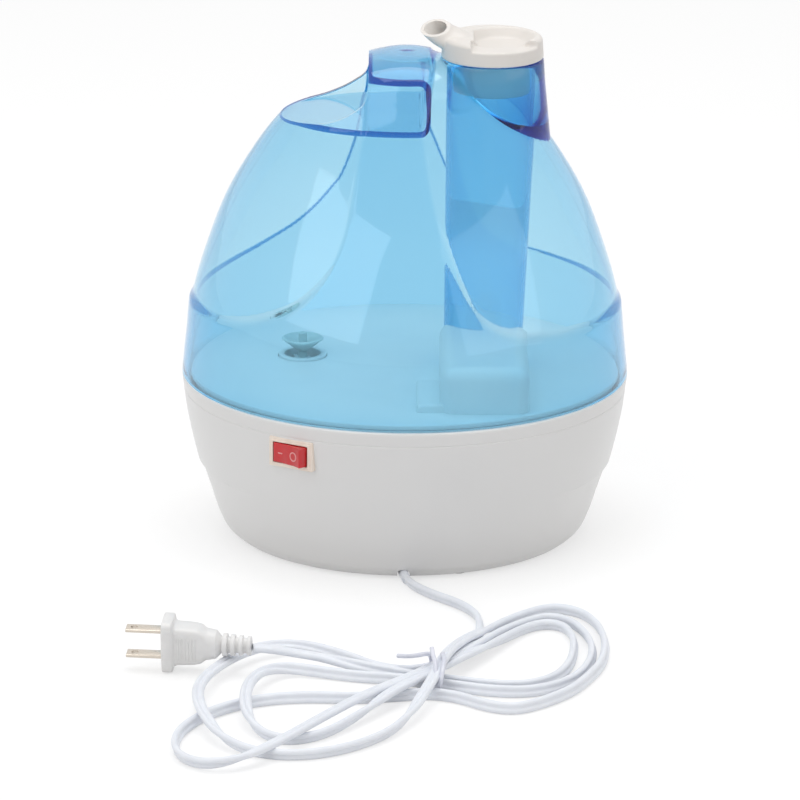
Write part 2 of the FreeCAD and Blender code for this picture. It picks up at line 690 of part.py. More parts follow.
def build_nozzle():
    """White mist nozzle: dished cap, skirt inside the chimney, and a rising spout."""
    low = "neck_top + slip"
    skirt_out = "chimney_top_radius - chimney_wall - 1.4"
    skirt_in = "chimney_top_radius - chimney_wall - 1.4 - skirt_wall"
    disc = revolved("nozzle_disc", [
        ("0", "%s + 2" % low),
        (skirt_in, "%s + 2" % low),
        (skirt_in, "neck_top - skirt_depth"),
        (skirt_out, "neck_top - skirt_depth"),
        (skirt_out, low),
        ("neck_radius", low),
        ("neck_radius - 0.5", "%s + cap_height - 2" % low),
        ("neck_radius - 2.5", "%s + cap_height" % low),
        ("0", "%s + cap_height" % low),
    ])
    placed = moved("nozzle_disc_at", disc, "neck_offset", "0")
    lean = "atan( spout_reach / spout_rise )"
    length = "sqrt( spout_rise ^ 2 + spout_reach ^ 2 )"
    spout = spout_cone("spout_wall", "spout_root", "spout_mouth", length, lean)
    bore = spout_cone("spout_bore", "spout_root - 1.6", "spout_mouth - 1.4", "%s + 1" % length, lean)
    dish = cylinder("dish", "dish_radius", "20", "neck_offset + 3.5", "0", "%s + cap_height - dish_depth" % low)
    chord = box("dish_chord", "80", "40", "40", "0", "-50", "neck_top - 5")
    throat = cylinder("throat", "9", "12", "neck_offset - 10", "0", "neck_top - 5")
    trim = cylinder("spout_trim", "neck_radius", "30", "neck_offset", "0", "neck_top - 30 + slip")
    solid = fuse("nozzle_solid", placed, cut("spout_trimmed", spout, trim))
    open_dish = cut("nozzle_dished", solid, cut("dish_cutter", dish, chord))
    return node(cut("nozzle_done", open_dish, fuse("nozzle_bores", bore, throat)), "mist_nozzle")


def spout_cone(name, low, high, height, lean):
    """A cone from the cap's middle leaning towards -X."""
    thing = cone(name, low, high, height, "neck_offset - 8", "0", "neck_top + 2")
    thing.Placement.Rotation = FreeCAD.Rotation(V(0, -1, 0), 1)
    thing.setExpression("Placement.Rotation.Angle", cell(lean))
    return thing


# --------------------------------------------------------------- cord and plug

# routes on the floor, as (x, y, z); z is the cord's middle
GROUND = 2.9
LEAD_ROUTE = ((0, -66.5, GROUND), (-1, -81, GROUND), (3, -100, GROUND), (14, -116, GROUND), (27, -129, GROUND),
              (35, -145, GROUND), (36, -160, GROUND))
TAIL_ROUTE = ((-68.5, -220.8, 12.6), (-60, -219.5, 11.2), (-51, -217, 8.6))
BUNDLE_EDGE = ((15, -226), (-10, -217), (-36, -191), (-54, -192), (-60, -205), (-61, -230), (-93, -231),
               (-98, -262), (-105, -318), (-99, -345), (-83, -356), (-62, -351), (-42, -345), (-20, -322), (-2, -297),
               (15, -247), (27, -268), (48, -284), (64, -278), (92, -238), (98, -190), (95, -152), (84, -131),
               (69, -125), (54, -132), (41, -148), (30, -168), (22, -200))
BUNDLE_HOLES = (
    ((-18, -246), (-40, -235), (-54, -236), (-62, -254), (-61, -290), (-54, -305), (-38, -294)),
    ((33, -224), (45, -192), (60, -166), (68, -168), (70, -214), (62, -234), (45, -240)),
)
BUNDLE_HEIGHT = 11.4
TIE_AT = (16.0, -236.0)


def cord_tube(name, route, width):
    """A round tube along straight runs joined by tangent arcs; prints each arc's radius."""
    points = [V(*p) for p in route]
    edges = []
    start = points[0]
    radii = []
    for before, at, after in zip(points, points[1:], points[2:]):
        come, leave = at - before, after - at
        turn = come.getAngle(leave)
        reach = 0.45 * min(come.Length, leave.Length)
        radii.append(round(reach / math.tan(turn / 2), 1))
        come.normalize()
        leave.normalize()
        first, last = at - come * reach, at + leave * reach
        toward = leave - come
        toward.normalize()
        radius = reach / math.tan(turn / 2)
        middle = at + toward * (radius / math.cos(turn / 2) - radius)
        edges.append(Part.LineSegment(start, first).toShape())
        edges.append(Part.Arc(first, middle, last).toShape())
        start = last
    edges.append(Part.LineSegment(start, points[-1]).toShape())
    path = Part.Wire(edges)
    ring = Part.Wire([Part.Circle(points[0], points[1] - points[0], width / 2).toShape()])
    tube = path.makePipeShell([ring], True, True)
    ratio = tube.Volume / (math.pi * width ** 2 / 4 * path.Length)
    print("%s: length %.1f, arc radii %s, volume ratio %.4f" % (name, path.Length, radii, ratio))
    thing = doc.addObject("Part::Feature", name + "_tube")
    thing.Shape = tube
    return node(thing, name)


def build_cord():
    """Gland, lead, figure-eight bundle with its tie, and the tail to the plug."""
    gland = middle_box("gland", "cord_width + 2.6", "9", "cord_width + 0.6", "0", "- 61.5", "0.2")
    node(rounded("gland_soft", gland, 1.2, upright), "cord_gland")
    cord_tube("cord_lead", LEAD_ROUTE, dim("cord_width"))
    faces = [Part.Face(Part.makePolygon([V(x, y, 0.1) for x, y in ring + ring[:1]]))
             for ring in (BUNDLE_EDGE,) + BUNDLE_HOLES]
    bundle = doc.addObject("Part::Feature", "bundle")
    bundle.Shape = faces[0].cut(faces[1:]).extrude(V(0, 0, BUNDLE_HEIGHT - 0.1)).Solids[0]
    node(bundle, "cord_bundle")
    x, y = TIE_AT
    outer = middle_box("tie_outer", "4", "24", "15.4", "%s" % x, "%s" % y, "0.05")
    inner = middle_box("tie_inner", "8", "22.4", "13.8", "%s" % x, "%s" % y, "0.85")
    node(cut("tie", outer, inner), "cord_tie")
    cord_tube("plug_tail", TAIL_ROUTE, dim("cord_width"))


def at_plug(name, thing):
    """Turns a piece drawn along X, its flange face on the YZ plane, to where the plug lies."""
    holder = group(name, thing)
    roll = FreeCAD.Rotation(V(1, 0, 0), dim("plug_roll"))
    yaw = FreeCAD.Rotation(V(0, 0, 1), -6)
    lean = math.radians(dim("plug_roll"))
    height = dim("plug_width") / 2 * math.cos(lean) + dim("plug_thick") / 2 * math.sin(lean) + 0.1
    holder.Placement = FreeCAD.Placement(V(-109.5, -216.5, height), yaw.multiply(roll))
    return holder


def build_plug():
    """Two-blade plug lying on its edge: flange, gripped body, ribbed strain relief, blades."""
    flange = box("flange", "flange_thick", "plug_thick", "plug_width", "0", "- plug_thick / 2", "- plug_width / 2")
    flange_soft = rounded("flange_soft", flange, 2.0, lambda e: abs(e.tangentAt(e.FirstParameter).x) > 0.9)
    body = box("grip", "plug_length - flange_thick", "plug_body_thick", "plug_body_width", "flange_thick",
               "- plug_body_thick / 2", "- plug_body_width / 2")
    body_soft = rounded("grip_soft", body, 3.0, lambda e: abs(e.tangentAt(e.FirstParameter).x) > 0.9)
    relief = cone("relief", "6", "4.2", "18", "plug_length - 1", "0", "0")
    relief.Placement.Rotation = FreeCAD.Rotation(V(0, 1, 0), 90)
    node(at_plug("plug_at", fuse("plug_solid", flange_soft, body_soft, relief)), "plug_body")
    blades = [box("blade_%d" % i, "blade_length", "blade_width", "blade_thick", "- blade_length",
                  "- blade_width / 2", "%s * blade_gap / 2 - blade_thick / 2" % side)
              for i, side in enumerate((-1, 1))]
    node(at_plug("blades_at", group("blades", *blades)), "plug_blades")


build_base_shell()
build_cover()
build_feet()
build_cover_screws()
build_deck()
build_transducer()
build_electronics()
build_fan()
build_float()
build_switch()
build_dome()
build_chimney()
build_tank_floor()
build_fill_cap()
build_valve()
build_nozzle()
build_cord()
build_plug()

doc.recompute()
faults = [thing.Name for thing in doc.Objects if "Invalid" in thing.State or "Error" in thing.State]
for piece in parts:
    shape = piece.Shape
    if shape.isNull() or not shape.isValid() or not shape.Solids:
        faults.append(piece.Label)
if faults:
    raise RuntimeError("failed objects: " + ", ".join(faults))
for piece in parts:
    piece.Shape.exportStep("parts/%s.step" % piece.Label)
    print("%-18s %2d solids %10.1f mm3" % (piece.Label, len(piece.Shape.Solids), piece.Shape.Volume))
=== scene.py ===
import sys
import logging
import math
from dataclasses import dataclass
from enum import Enum

import bmesh
import bpy
import numpy as np
from mathutils import Matrix, Vector


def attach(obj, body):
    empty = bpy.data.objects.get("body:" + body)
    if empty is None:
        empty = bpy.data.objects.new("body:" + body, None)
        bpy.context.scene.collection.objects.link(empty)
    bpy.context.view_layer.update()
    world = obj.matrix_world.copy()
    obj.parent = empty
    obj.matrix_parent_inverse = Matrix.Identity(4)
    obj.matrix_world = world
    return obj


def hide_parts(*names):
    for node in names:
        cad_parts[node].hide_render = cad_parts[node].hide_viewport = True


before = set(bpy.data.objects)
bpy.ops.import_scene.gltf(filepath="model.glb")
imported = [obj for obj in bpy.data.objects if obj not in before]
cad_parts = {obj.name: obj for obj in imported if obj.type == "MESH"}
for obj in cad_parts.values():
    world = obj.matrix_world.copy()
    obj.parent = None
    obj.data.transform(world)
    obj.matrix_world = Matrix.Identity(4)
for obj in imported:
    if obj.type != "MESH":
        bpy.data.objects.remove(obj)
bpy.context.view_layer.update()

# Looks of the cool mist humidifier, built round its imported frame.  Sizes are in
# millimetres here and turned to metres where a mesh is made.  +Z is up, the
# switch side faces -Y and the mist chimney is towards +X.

MM = 0.001
RIM_RADIUS = 108.3
SEAM = 80.4
NECK_TOP = 236.0
NECK_AXIS = (41.0, 0.0)
VALVE_AXIS = (-50.0, 12.0)
# the mist tube's lower and upper ends: x, height, radius
TUBE_LOW = (37.6, SEAM, 18.8)
TUBE_HIGH = (NECK_AXIS[0], NECK_TOP, 22.0)
LOG = logging.getLogger("humidifier")


class Body(Enum):
    """The bodies of the frame that this file's own pieces ride on."""

    BASE = "base"
    FAN = "fan"
    ROCKER = "rocker"
    TANK = "tank"
    CAP = "cap"
    VALVE = "valve"
    NOZZLE = "nozzle"


class Carve(Enum):
    """How a tool shape is combined with a piece."""

    ADD = "UNION"
    TAKE = "DIFFERENCE"
    KEEP = "INTERSECT"


# ------------------------------------------------------------------ materials


def linear(code: str) -> tuple[float, float, float, float]:
    """Turn an sRGB hex colour into the renderer's linear colour.

    Args:
        code: Six hex digits.

    Returns:
        Red, green, blue and an alpha of one.
    """
    parts = [int(code[i : i + 2], 16) / 255 for i in (0, 2, 4)]
    flat = [c / 12.92 if c <= 0.04045 else ((c + 0.055) / 1.055) ** 2.4 for c in parts]
    return flat[0], flat[1], flat[2], 1.0


def add(tree: bpy.types.NodeTree, kind: str, inputs: dict | None = None, **settings) -> bpy.types.Node:
    """Add a node to a tree.

    Args:
        tree: The node tree.
        kind: The node's type name.
        inputs: Values or sockets for the node's inputs, by name or index.
        **settings: Properties of the node itself.

    Returns:
        The new node.
    """
    node = tree.nodes.new(kind)
    for name, value in settings.items():
        setattr(node, name, value)
    for name, value in (inputs or {}).items():
        if isinstance(value, bpy.types.NodeSocket):
            tree.links.new(value, node.inputs[name])
        else:
            node.inputs[name].default_value = value
    return node


def blank_material(name: str) -> tuple[bpy.types.Material, bpy.types.NodeTree]:
    """Make a material with an empty node tree.

    Args:
        name: The finish's name.

    Returns:
        The material and its tree.
    """
    material = bpy.data.materials.new(name)
    material.use_nodes = True
    material.node_tree.nodes.clear()
    return material, material.node_tree


def object_noise(tree: bpy.types.NodeTree, size_mm: float, stretch: tuple = (1.0, 1.0, 1.0), detail: float = 2.0):
    """Noise of a real size on the piece's own coordinates.

    Args:
        tree: The node tree.
        size_mm: Width of one blotch or grain.
        stretch: Scale along each axis.
        detail: Octaves of the noise.

    Returns:
        The noise's value socket.
    """
    place = add(tree, "ShaderNodeTexCoord")
    turn = add(tree, "ShaderNodeMapping", {"Vector": place.outputs["Object"], "Scale": stretch})
    noise = add(tree, "ShaderNodeTexNoise", {"Vector": turn.outputs["Vector"], "Scale": 1000.0 / size_mm,
                                             "Detail": detail})
    return noise.outputs["Fac"]


@dataclass(frozen=True)
class Moulded:
    """A moulded plastic or rubber with a faint mottle and a fine surface grain."""

    name: str
    colour: str
    shade: str
    roughness: float
    mottle_mm: float = 18.0
    grain_mm: float = 0.9
    grain: float = 0.03
    coat: float = 0.0
    subsurface: float = 0.0
    gloss_spread: float = 0.1
    ior: float = 1.5

    def make(self) -> bpy.types.Material:
        """Build the material."""
        material, tree = blank_material(self.name)
        mottle = object_noise(tree, self.mottle_mm)
        ramp = add(tree, "ShaderNodeValToRGB", {"Fac": mottle})
        ramp.color_ramp.elements[0].position, ramp.color_ramp.elements[1].position = 0.3, 0.7
        ramp.color_ramp.elements[0].color = linear(self.shade)
        ramp.color_ramp.elements[1].color = linear(self.colour)
        gloss = add(tree, "ShaderNodeMapRange", {"Value": mottle, "To Min": self.roughness * (1 - self.gloss_spread),
                                                 "To Max": self.roughness * (1 + self.gloss_spread)})
        bump = add(tree, "ShaderNodeBump", {"Strength": self.grain, "Distance": 0.0002,
                                            "Height": object_noise(tree, self.grain_mm)})
        shader = add(tree, "ShaderNodeBsdfPrincipled", {
            "Base Color": ramp.outputs["Color"],
            "Roughness": gloss.outputs["Result"],
            "IOR": self.ior,
            "Coat Weight": self.coat,
            "Coat Roughness": 0.08,
            "Subsurface Weight": self.subsurface,
            "Subsurface Radius": (1.0, 0.9, 0.8),
            "Subsurface Scale": 0.002,
            "Normal": bump.outputs["Normal"],
        })
        add(tree, "ShaderNodeOutputMaterial", {"Surface": shader.outputs["BSDF"]})
        return material


@dataclass(frozen=True)
class PlatedMetal:
    """A plated or bare metal with fine rubbing marks along one axis."""

    name: str
    colour: str
    shade: str
    roughness: float
    mark_mm: float = 0.5
    stretch: tuple = (0.08, 1.0, 1.0)

    def make(self) -> bpy.types.Material:
        """Build the material."""
        material, tree = blank_material(self.name)
        marks = object_noise(tree, self.mark_mm, self.stretch, 3.0)
        tint = add(tree, "ShaderNodeValToRGB", {"Fac": object_noise(tree, 6.0)})
        tint.color_ramp.elements[0].color = linear(self.shade)
        tint.color_ramp.elements[1].color = linear(self.colour)
        gloss = add(tree, "ShaderNodeMapRange", {"Value": marks, "To Min": self.roughness * 0.7,
                                                 "To Max": self.roughness * 1.3})
        bump = add(tree, "ShaderNodeBump", {"Strength": 0.08, "Distance": 0.0001, "Height": marks})
        shader = add(tree, "ShaderNodeBsdfPrincipled", {
            "Base Color": tint.outputs["Color"], "Metallic": 1.0, "Roughness": gloss.outputs["Result"],
            "Normal": bump.outputs["Normal"],
        })
        add(tree, "ShaderNodeOutputMaterial", {"Surface": shader.outputs["BSDF"]})
        return material


@dataclass(frozen=True)
class ClearTint:
    """A clear tinted plastic that is darker where light goes further through it."""

    name: str
    tint: str
    lamp_tint: str
    density: float
    roughness: float = 0.02
    ripple: float = 0.02
    ior: float = 1.5
    # rays bent, or thrown back inside the wall, more often than this go straight on
    deepest: float = 6.5
    most_bounces: float = 1.5
    # the share of the dye that only shows on rays from the camera, so soft light still fills the tank
    seen_only: float = 0.8

    def make(self) -> bpy.types.Material:
        """Build the material; lamps and soft light pass straight through, as in a thin wall."""
        material, tree = blank_material(self.name)
        bump = add(tree, "ShaderNodeBump", {"Strength": self.ripple, "Distance": 0.0005,
                                            "Height": object_noise(tree, 30.0)})
        glass = add(tree, "ShaderNodeBsdfPrincipled", {
            "Base Color": (1.0, 1.0, 1.0, 1.0), "Roughness": self.roughness, "IOR": self.ior,
            "Transmission Weight": 1.0, "Normal": bump.outputs["Normal"],
        })
        clear = add(tree, "ShaderNodeBsdfTransparent", {"Color": linear(self.lamp_tint)})
        path = add(tree, "ShaderNodeLightPath")
        soft = add(tree, "ShaderNodeMath", {0: path.outputs["Is Shadow Ray"], 1: path.outputs["Is Diffuse Ray"]},
                   operation="MAXIMUM")
        bent = add(tree, "ShaderNodeMath", {0: path.outputs["Ray Depth"], 1: self.deepest}, operation="GREATER_THAN")
        caught = add(tree, "ShaderNodeMath", {0: path.outputs["Glossy Depth"], 1: self.most_bounces},
                     operation="GREATER_THAN")
        deep = add(tree, "ShaderNodeMath", {0: bent.outputs[0], 1: caught.outputs[0]}, operation="MAXIMUM")
        straight = add(tree, "ShaderNodeMath", {0: soft.outputs[0], 1: deep.outputs[0]}, operation="MAXIMUM")
        dye = add(tree, "ShaderNodeMath", {0: soft.outputs[0], 1: -self.density * self.seen_only, 2: self.density},
                  operation="MULTIPLY_ADD")
        both = add(tree, "ShaderNodeMixShader", {0: straight.outputs[0], 1: glass.outputs["BSDF"],
                                                 2: clear.outputs["BSDF"]})
        inside = add(tree, "ShaderNodeVolumeAbsorption", {"Color": linear(self.tint), "Density": dye.outputs[0]})
        add(tree, "ShaderNodeOutputMaterial", {"Surface": both.outputs["Shader"], "Volume": inside.outputs["Volume"]})
        return material


# glossy ABS of the base: pale grey-white, a little uneven in gloss
WHITE_ABS = Moulded("white_abs_moulded", "E4E3E2", "E3E2E1", 0.3, mottle_mm=60.0, grain=0.004,
                    coat=0.1, gloss_spread=0.02)
# the same plastic inside, without the polish
PLAIN_ABS = Moulded("white_abs_unpolished", "E2E2E0", "DADAD8", 0.45)
# white polypropylene of the tank's floor and cap, slightly waxy
TANK_WHITE = Moulded("white_polypropylene", "E4F0F2", "E0EDF0", 0.38, subsurface=0.1)
# warm white polypropylene of the nozzle, soft sheen
NOZZLE_WHITE = Moulded("warm_white_polypropylene", "E4DFDA", "E1DCD6", 0.36, subsurface=0.12, grain=0.02)
# clear blue SAN of the tank: thin walls are azure, edges navy
TANK_BLUE = ClearTint("clear_blue_san", "00D0EF", "FAFDFF", 228.0)
# the chimney tube is moulded from the same plastic, thicker and deeper in colour
TUBE_BLUE = ClearTint("deep_clear_blue_san", "00D6F3", "F2FAFE", 380.0)
# red rocker: glossy nylon
ROCKER_RED = Moulded("red_nylon_glossy", "D21A22", "C2131B", 0.22, mottle_mm=6.0, grain=0.01, coat=0.3)
ROCKER_MARK = Moulded("pale_print_on_red", "F0A9A8", "E99C9B", 0.4, mottle_mm=2.0)
BEZEL_CREAM = Moulded("cream_nylon", "F3E6DA", "ECDCCD", 0.35, mottle_mm=5.0, grain=0.02)
# cord jacket: soft white PVC, slightly blue, satin
CORD_PVC = Moulded("white_pvc_jacket", "EEF1F7", "E9ECF3", 0.42, mottle_mm=9.0, grain_mm=0.5, grain=0.05,
                   subsurface=0.08)
PLUG_PVC = Moulded("white_pvc_plug", "ECEBEA", "E6E5E4", 0.4, mottle_mm=6.0, grain=0.03, subsurface=0.06)
TIE_PLASTIC = Moulded("white_coated_tie_wire", "E4E6EF", "DADCE8", 0.35, mottle_mm=3.0, grain=0.03)
GREY_RUBBER = Moulded("grey_rubber", "7C7D80", "6F7073", 0.7, mottle_mm=4.0, grain=0.1)
SILICONE = Moulded("pale_silicone", "C3DADB", "B6CFD1", 0.35, mottle_mm=4.0, subsurface=0.3)
BLACK_PBT = Moulded("black_pbt", "26272A", "1E1F22", 0.5, mottle_mm=5.0, grain=0.08)
FLOAT_FOAM = Moulded("closed_cell_foam", "E9E7DF", "DAD7CC", 0.85, mottle_mm=1.6, grain_mm=0.7, grain=0.4)
BOARD_GREEN = Moulded("green_laminate", "1E5B36", "174A2B", 0.35, mottle_mm=3.0)
BLADE_METAL = PlatedMetal("nickel_plated_brass", "D8CFC4", "C9BFB2", 0.28)
SCREW_STEEL = PlatedMetal("zinc_plated_steel", "C9CBCD", "B6B9BC", 0.35, stretch=(1.0, 1.0, 1.0))
SINK_METAL = PlatedMetal("extruded_aluminium", "CFD1D3", "BFC1C4", 0.4, stretch=(1.0, 0.08, 1.0))
TAB_BRASS = PlatedMetal("tinned_brass", "D9B56A", "C7A25B", 0.3)
PIEZO = PlatedMetal("fired_silver_on_ceramic", "D5D2C8", "C6C2B6", 0.5, stretch=(1.0, 1.0, 1.0))


# --------------------------------------------------------------- mesh helpers


def to_object(name: str, points: np.ndarray, faces: list, sharp: float = 35.0) -> bpy.types.Object:
    """Make a smooth closed mesh object, its faces outwards, from millimetre points.

    Args:
        name: The object's name.
        points: An (n, 3) array in millimetres.
        faces: Lists of point numbers.
        sharp: Edges bent by more degrees than this stay crisp.

    Returns:
        The new object.
    """
    mesh = bpy.data.meshes.new(name)
    mesh.from_pydata((np.asarray(points, float) * MM).tolist(), [], [list(f) for f in faces])
    solid = bmesh.new()
    solid.from_mesh(mesh)
    bmesh.ops.remove_doubles(solid, verts=solid.verts, dist=2e-6)
    bmesh.ops.dissolve_degenerate(solid, edges=solid.edges, dist=1e-7)
    bmesh.ops.recalc_face_normals(solid, faces=solid.faces)
    if solid.calc_volume(signed=True) < 0:
        bmesh.ops.reverse_faces(solid, faces=solid.faces)
    solid.to_mesh(mesh)
    solid.free()
    return linked(name, mesh, sharp)


def linked(name: str, data: bpy.types.ID, sharp: float | None = None) -> bpy.types.Object:
    """Put a new object in the scene.

    Args:
        name: The object's name.
        data: Its mesh, curve, lamp or camera.
        sharp: The angle in degrees past which a mesh's edges stay crisp, or None to leave its shading.

    Returns:
        The object.
    """
    thing = bpy.data.objects.new(name, data)
    bpy.context.scene.collection.objects.link(thing)
    if sharp is not None:
        crisp(thing, sharp)
    return thing


def crisp(thing: bpy.types.Object, sharp: float) -> None:
    """Shade an object smooth, with its bent edges left crisp.

    Args:
        thing: The object.
        sharp: The angle in degrees.
    """
    thing.data.polygons.foreach_set("use_smooth", [True] * len(thing.data.polygons))
    thing.data.set_sharp_from_angle(angle=math.radians(sharp))


def skin(rows: np.ndarray, wrap_rows: bool = False, caps: bool = False) -> list:
    """Quads over a grid of points that closes round its second axis.

    Args:
        rows: An (m, n, 3) array; row i joins row i + 1.
        wrap_rows: Join the last row to the first.
        caps: Close the first and last rows with one face each.

    Returns:
        Lists of point numbers into the flattened grid.
    """
    count, around = rows.shape[:2]
    faces = []
    for i in range(count if wrap_rows else count - 1):
        for j in range(around):
            k, low, high = (j + 1) % around, i * around, ((i + 1) % count) * around
            faces.append([low + j, low + k, high + k, high + j])
    if caps:
        faces.append(list(range(around))[::-1])
        faces.append([(count - 1) * around + j for j in range(around)])
    return faces


def prism_faces(count: int) -> list:
    """Faces of a prism whose points are one end's outline and then the other's, each of count points."""
    faces = [[i, (i + 1) % count, count + (i + 1) % count, count + i] for i in range(count)]
    return faces + [list(range(count))[::-1], [count + i for i in range(count)]]


def lathe(name: str, outline: list, centre: tuple = (0.0, 0.0), around: int = 96, closed: bool = True,
          sharp: float = 35.0) -> bpy.types.Object:
    """Turn an outline about a vertical axis.

    Args:
        name: The object's name.
        outline: (radius, height) points; a closed outline goes round a ring's section.
        centre: The axis's x and y.
        around: Points round the axis.
        closed: Join the outline's end to its start.
        sharp: Edges bent by more degrees stay crisp.

    Returns:
        The new object.
    """
    turn = np.linspace(0, 2 * math.pi, around, endpoint=False)
    rows = np.array([np.stack([centre[0] + max(r, 0.0) * np.cos(turn), centre[1] + max(r, 0.0) * np.sin(turn),
                               np.full(around, z)], axis=1) for r, z in outline])
    return to_object(name, rows.reshape(-1, 3), skin(rows, wrap_rows=closed), sharp)


def rounded_outline(corners: list, steps: int = 5) -> list:
    """Round an outline's corners.

    Args:
        corners: (x, y, radius) for each corner in turn.
        steps: Points on each rounded corner.

    Returns:
        (x, y) points of the closed outline.
    """
    outline = []
    count = len(corners)
    for i, (x, y, radius) in enumerate(corners):
        if radius <= 0:
            outline.append((x, y))
            continue
        here = np.array([x, y], float)
        back = np.array(corners[i - 1][:2], float) - here
        ahead = np.array(corners[(i + 1) % count][:2], float) - here
        back /= np.linalg.norm(back)
        ahead /= np.linalg.norm(ahead)
        half = math.acos(max(-1.0, min(1.0, float(back @ ahead)))) / 2
        reach = radius / math.tan(half)
        start, end = here + back * reach, here + ahead * reach
        for k in range(steps + 1):
            t = k / steps
            outline.append(tuple((1 - t) ** 2 * start + 2 * t * (1 - t) * here + t**2 * end))
    return outline


def block(name: str, low: tuple, high: tuple, radius: float = 0.0, steps: int = 5,
          turn: Matrix | None = None) -> bpy.types.Object:
    """A box with rounded edges.

    Args:
        name: The object's name.
        low: Lowest corner.
        high: Highest corner.
        radius: Radius of the edges.
        steps: Faces across each rounded edge.
        turn: A matrix, in millimetres, applied to the finished box.

    Returns:
        The new object.
    """
    solid = bmesh.new()
    bmesh.ops.create_cube(solid, size=1.0)
    middle, size = (np.array(low) + np.array(high)) / 2, np.array(high) - np.array(low)
    for v in solid.verts:
        v.co = Vector((middle + np.array(v.co) * size) * MM)
    if radius:
        bmesh.ops.bevel(solid, geom=list(solid.edges), offset=radius * MM, segments=steps, profile=0.5,
                        affect="EDGES")
    if turn is not None:
        shift = turn.copy()
        shift.translation *= MM
        bmesh.ops.transform(solid, matrix=shift, verts=solid.verts)
    bmesh.ops.recalc_face_normals(solid, faces=solid.faces)
    mesh = bpy.data.meshes.new(name)
    solid.to_mesh(mesh)
    solid.free()
    return linked(name, mesh, 35.0)


def carve(target: bpy.types.Object, tool: bpy.types.Object, how: Carve = Carve.TAKE,
          sharp: float = 35.0) -> bpy.types.Object:
    """Combine a piece with a tool shape and drop the tool.

    Args:
        target: The piece.
        tool: The other closed shape.
        how: Add, take away or keep what is common.
        sharp: Edges bent by more degrees stay crisp.

    Returns:
        The piece with its new mesh.
    """
    step = target.modifiers.new("carve", "BOOLEAN")
    step.operation, step.object, step.solver = how.value, tool, "EXACT"
    bake_modifiers(target)
    bpy.data.objects.remove(tool, do_unlink=True)
    crisp(target, sharp)
    return target


def bake_modifiers(target: bpy.types.Object) -> None:
    """Turn an object's modifiers into its mesh."""
    mesh = finished_mesh(target)
    target.modifiers.clear()
    target.data = mesh


def finished_mesh(thing: bpy.types.Object) -> bpy.types.Mesh:
    """A new mesh of an object as it looks with its modifiers or curve worked out."""
    bpy.context.view_layer.update()
    return bpy.data.meshes.new_from_object(thing.evaluated_get(bpy.context.evaluated_depsgraph_get()))


def melt(target: bpy.types.Object, voxel: float, rounds: int) -> bpy.types.Object:
    """Join a piece's overlapping shapes into one soft skin with moulded fillets.

    Args:
        target: The piece.
        voxel: Grid size in millimetres.
        rounds: Smoothing rounds.

    Returns:
        The piece.
    """
    grid = target.modifiers.new("melt", "REMESH")
    grid.mode, grid.voxel_size = "VOXEL", voxel * MM
    soft = target.modifiers.new("soften", "SMOOTH")
    soft.factor, soft.iterations = 0.5, rounds
    bake_modifiers(target)
    crisp(target, 60.0)
    return target


def join(name: str, things: list) -> bpy.types.Object:
    """Put several meshes into one object.

    Args:
        name: The new object's name.
        things: The objects, which are dropped.

    Returns:
        The new object.
    """
    solid = bmesh.new()
    for thing in things:
        solid.from_mesh(thing.data)
        bpy.data.objects.remove(thing, do_unlink=True)
    mesh = bpy.data.meshes.new(name)
    solid.to_mesh(mesh)
    solid.free()
    return linked(name, mesh, 35.0)


def dress(thing: bpy.types.Object, finish, body: Body, slot: str, *nodes: str) -> bpy.types.Object:
    """Give a piece its material and body, and hide the CAD nodes that it stands for.

    Args:
        thing: The piece.
        finish: A finish with a make method, or a ready material.
        body: The body it moves with.
        slot: The record's material slot; not used.
        *nodes: CAD nodes that it replaces.

    Returns:
        The piece.
    """
    material = finish if isinstance(finish, bpy.types.Material) else made(finish)
    thing.data.materials.clear()
    thing.data.materials.append(material)
    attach(thing, body.value)
    if nodes:
        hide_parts(*nodes)
    LOG.info("%s: %d faces on %s", thing.name, len(getattr(thing.data, "polygons", ())), body.value)
    return thing


MADE: dict[str, bpy.types.Material] = {}


def made(finish) -> bpy.types.Material:
    """The material of a finish, built once."""
    if finish.name not in MADE:
        MADE[finish.name] = finish.make()
    return MADE[finish.name]


def paint_node(node: str, finish) -> None:
    """Give a CAD node that stays in sight its finish.

    Args:
        node: The node's name.
        finish: The finish.
    """
    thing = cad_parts[node]
    thing.data.materials.clear()
    thing.data.materials.append(made(finish))
    LOG.info("%s: packed shape in %s", node, finish.name)


def through(stations: list, count: int) -> np.ndarray:
    """A smooth line through stations, spaced by their distance.

    Args:
        stations: Points of any dimension.
        count: Points wanted.

    Returns:
        A (count, dimension) array.
    """
    knots = np.asarray(stations, float)
    gaps = np.sqrt(np.linalg.norm(np.diff(knots, axis=0), axis=1))
    at = np.concatenate([[0], np.cumsum(gaps)])
    slopes = np.zeros_like(knots)
    slopes[1:-1] = (knots[2:] - knots[:-2]) / (at[2:] - at[:-2])[:, None]
    slopes[0], slopes[-1] = (knots[1] - knots[0]) / gaps[0], (knots[-1] - knots[-2]) / gaps[-1]
    where = np.linspace(0, at[-1], count)
    i = np.clip(np.searchsorted(at, where, side="right") - 1, 0, len(gaps) - 1)
    h = gaps[i][:, None]
    t = ((where - at[i]) / gaps[i])[:, None]
    return ((2 * t**3 - 3 * t**2 + 1) * knots[i] + (t**3 - 2 * t**2 + t) * h * slopes[i]
            + (3 * t**2 - 2 * t**3) * knots[i + 1] + (t**3 - t**2) * h * slopes[i + 1])


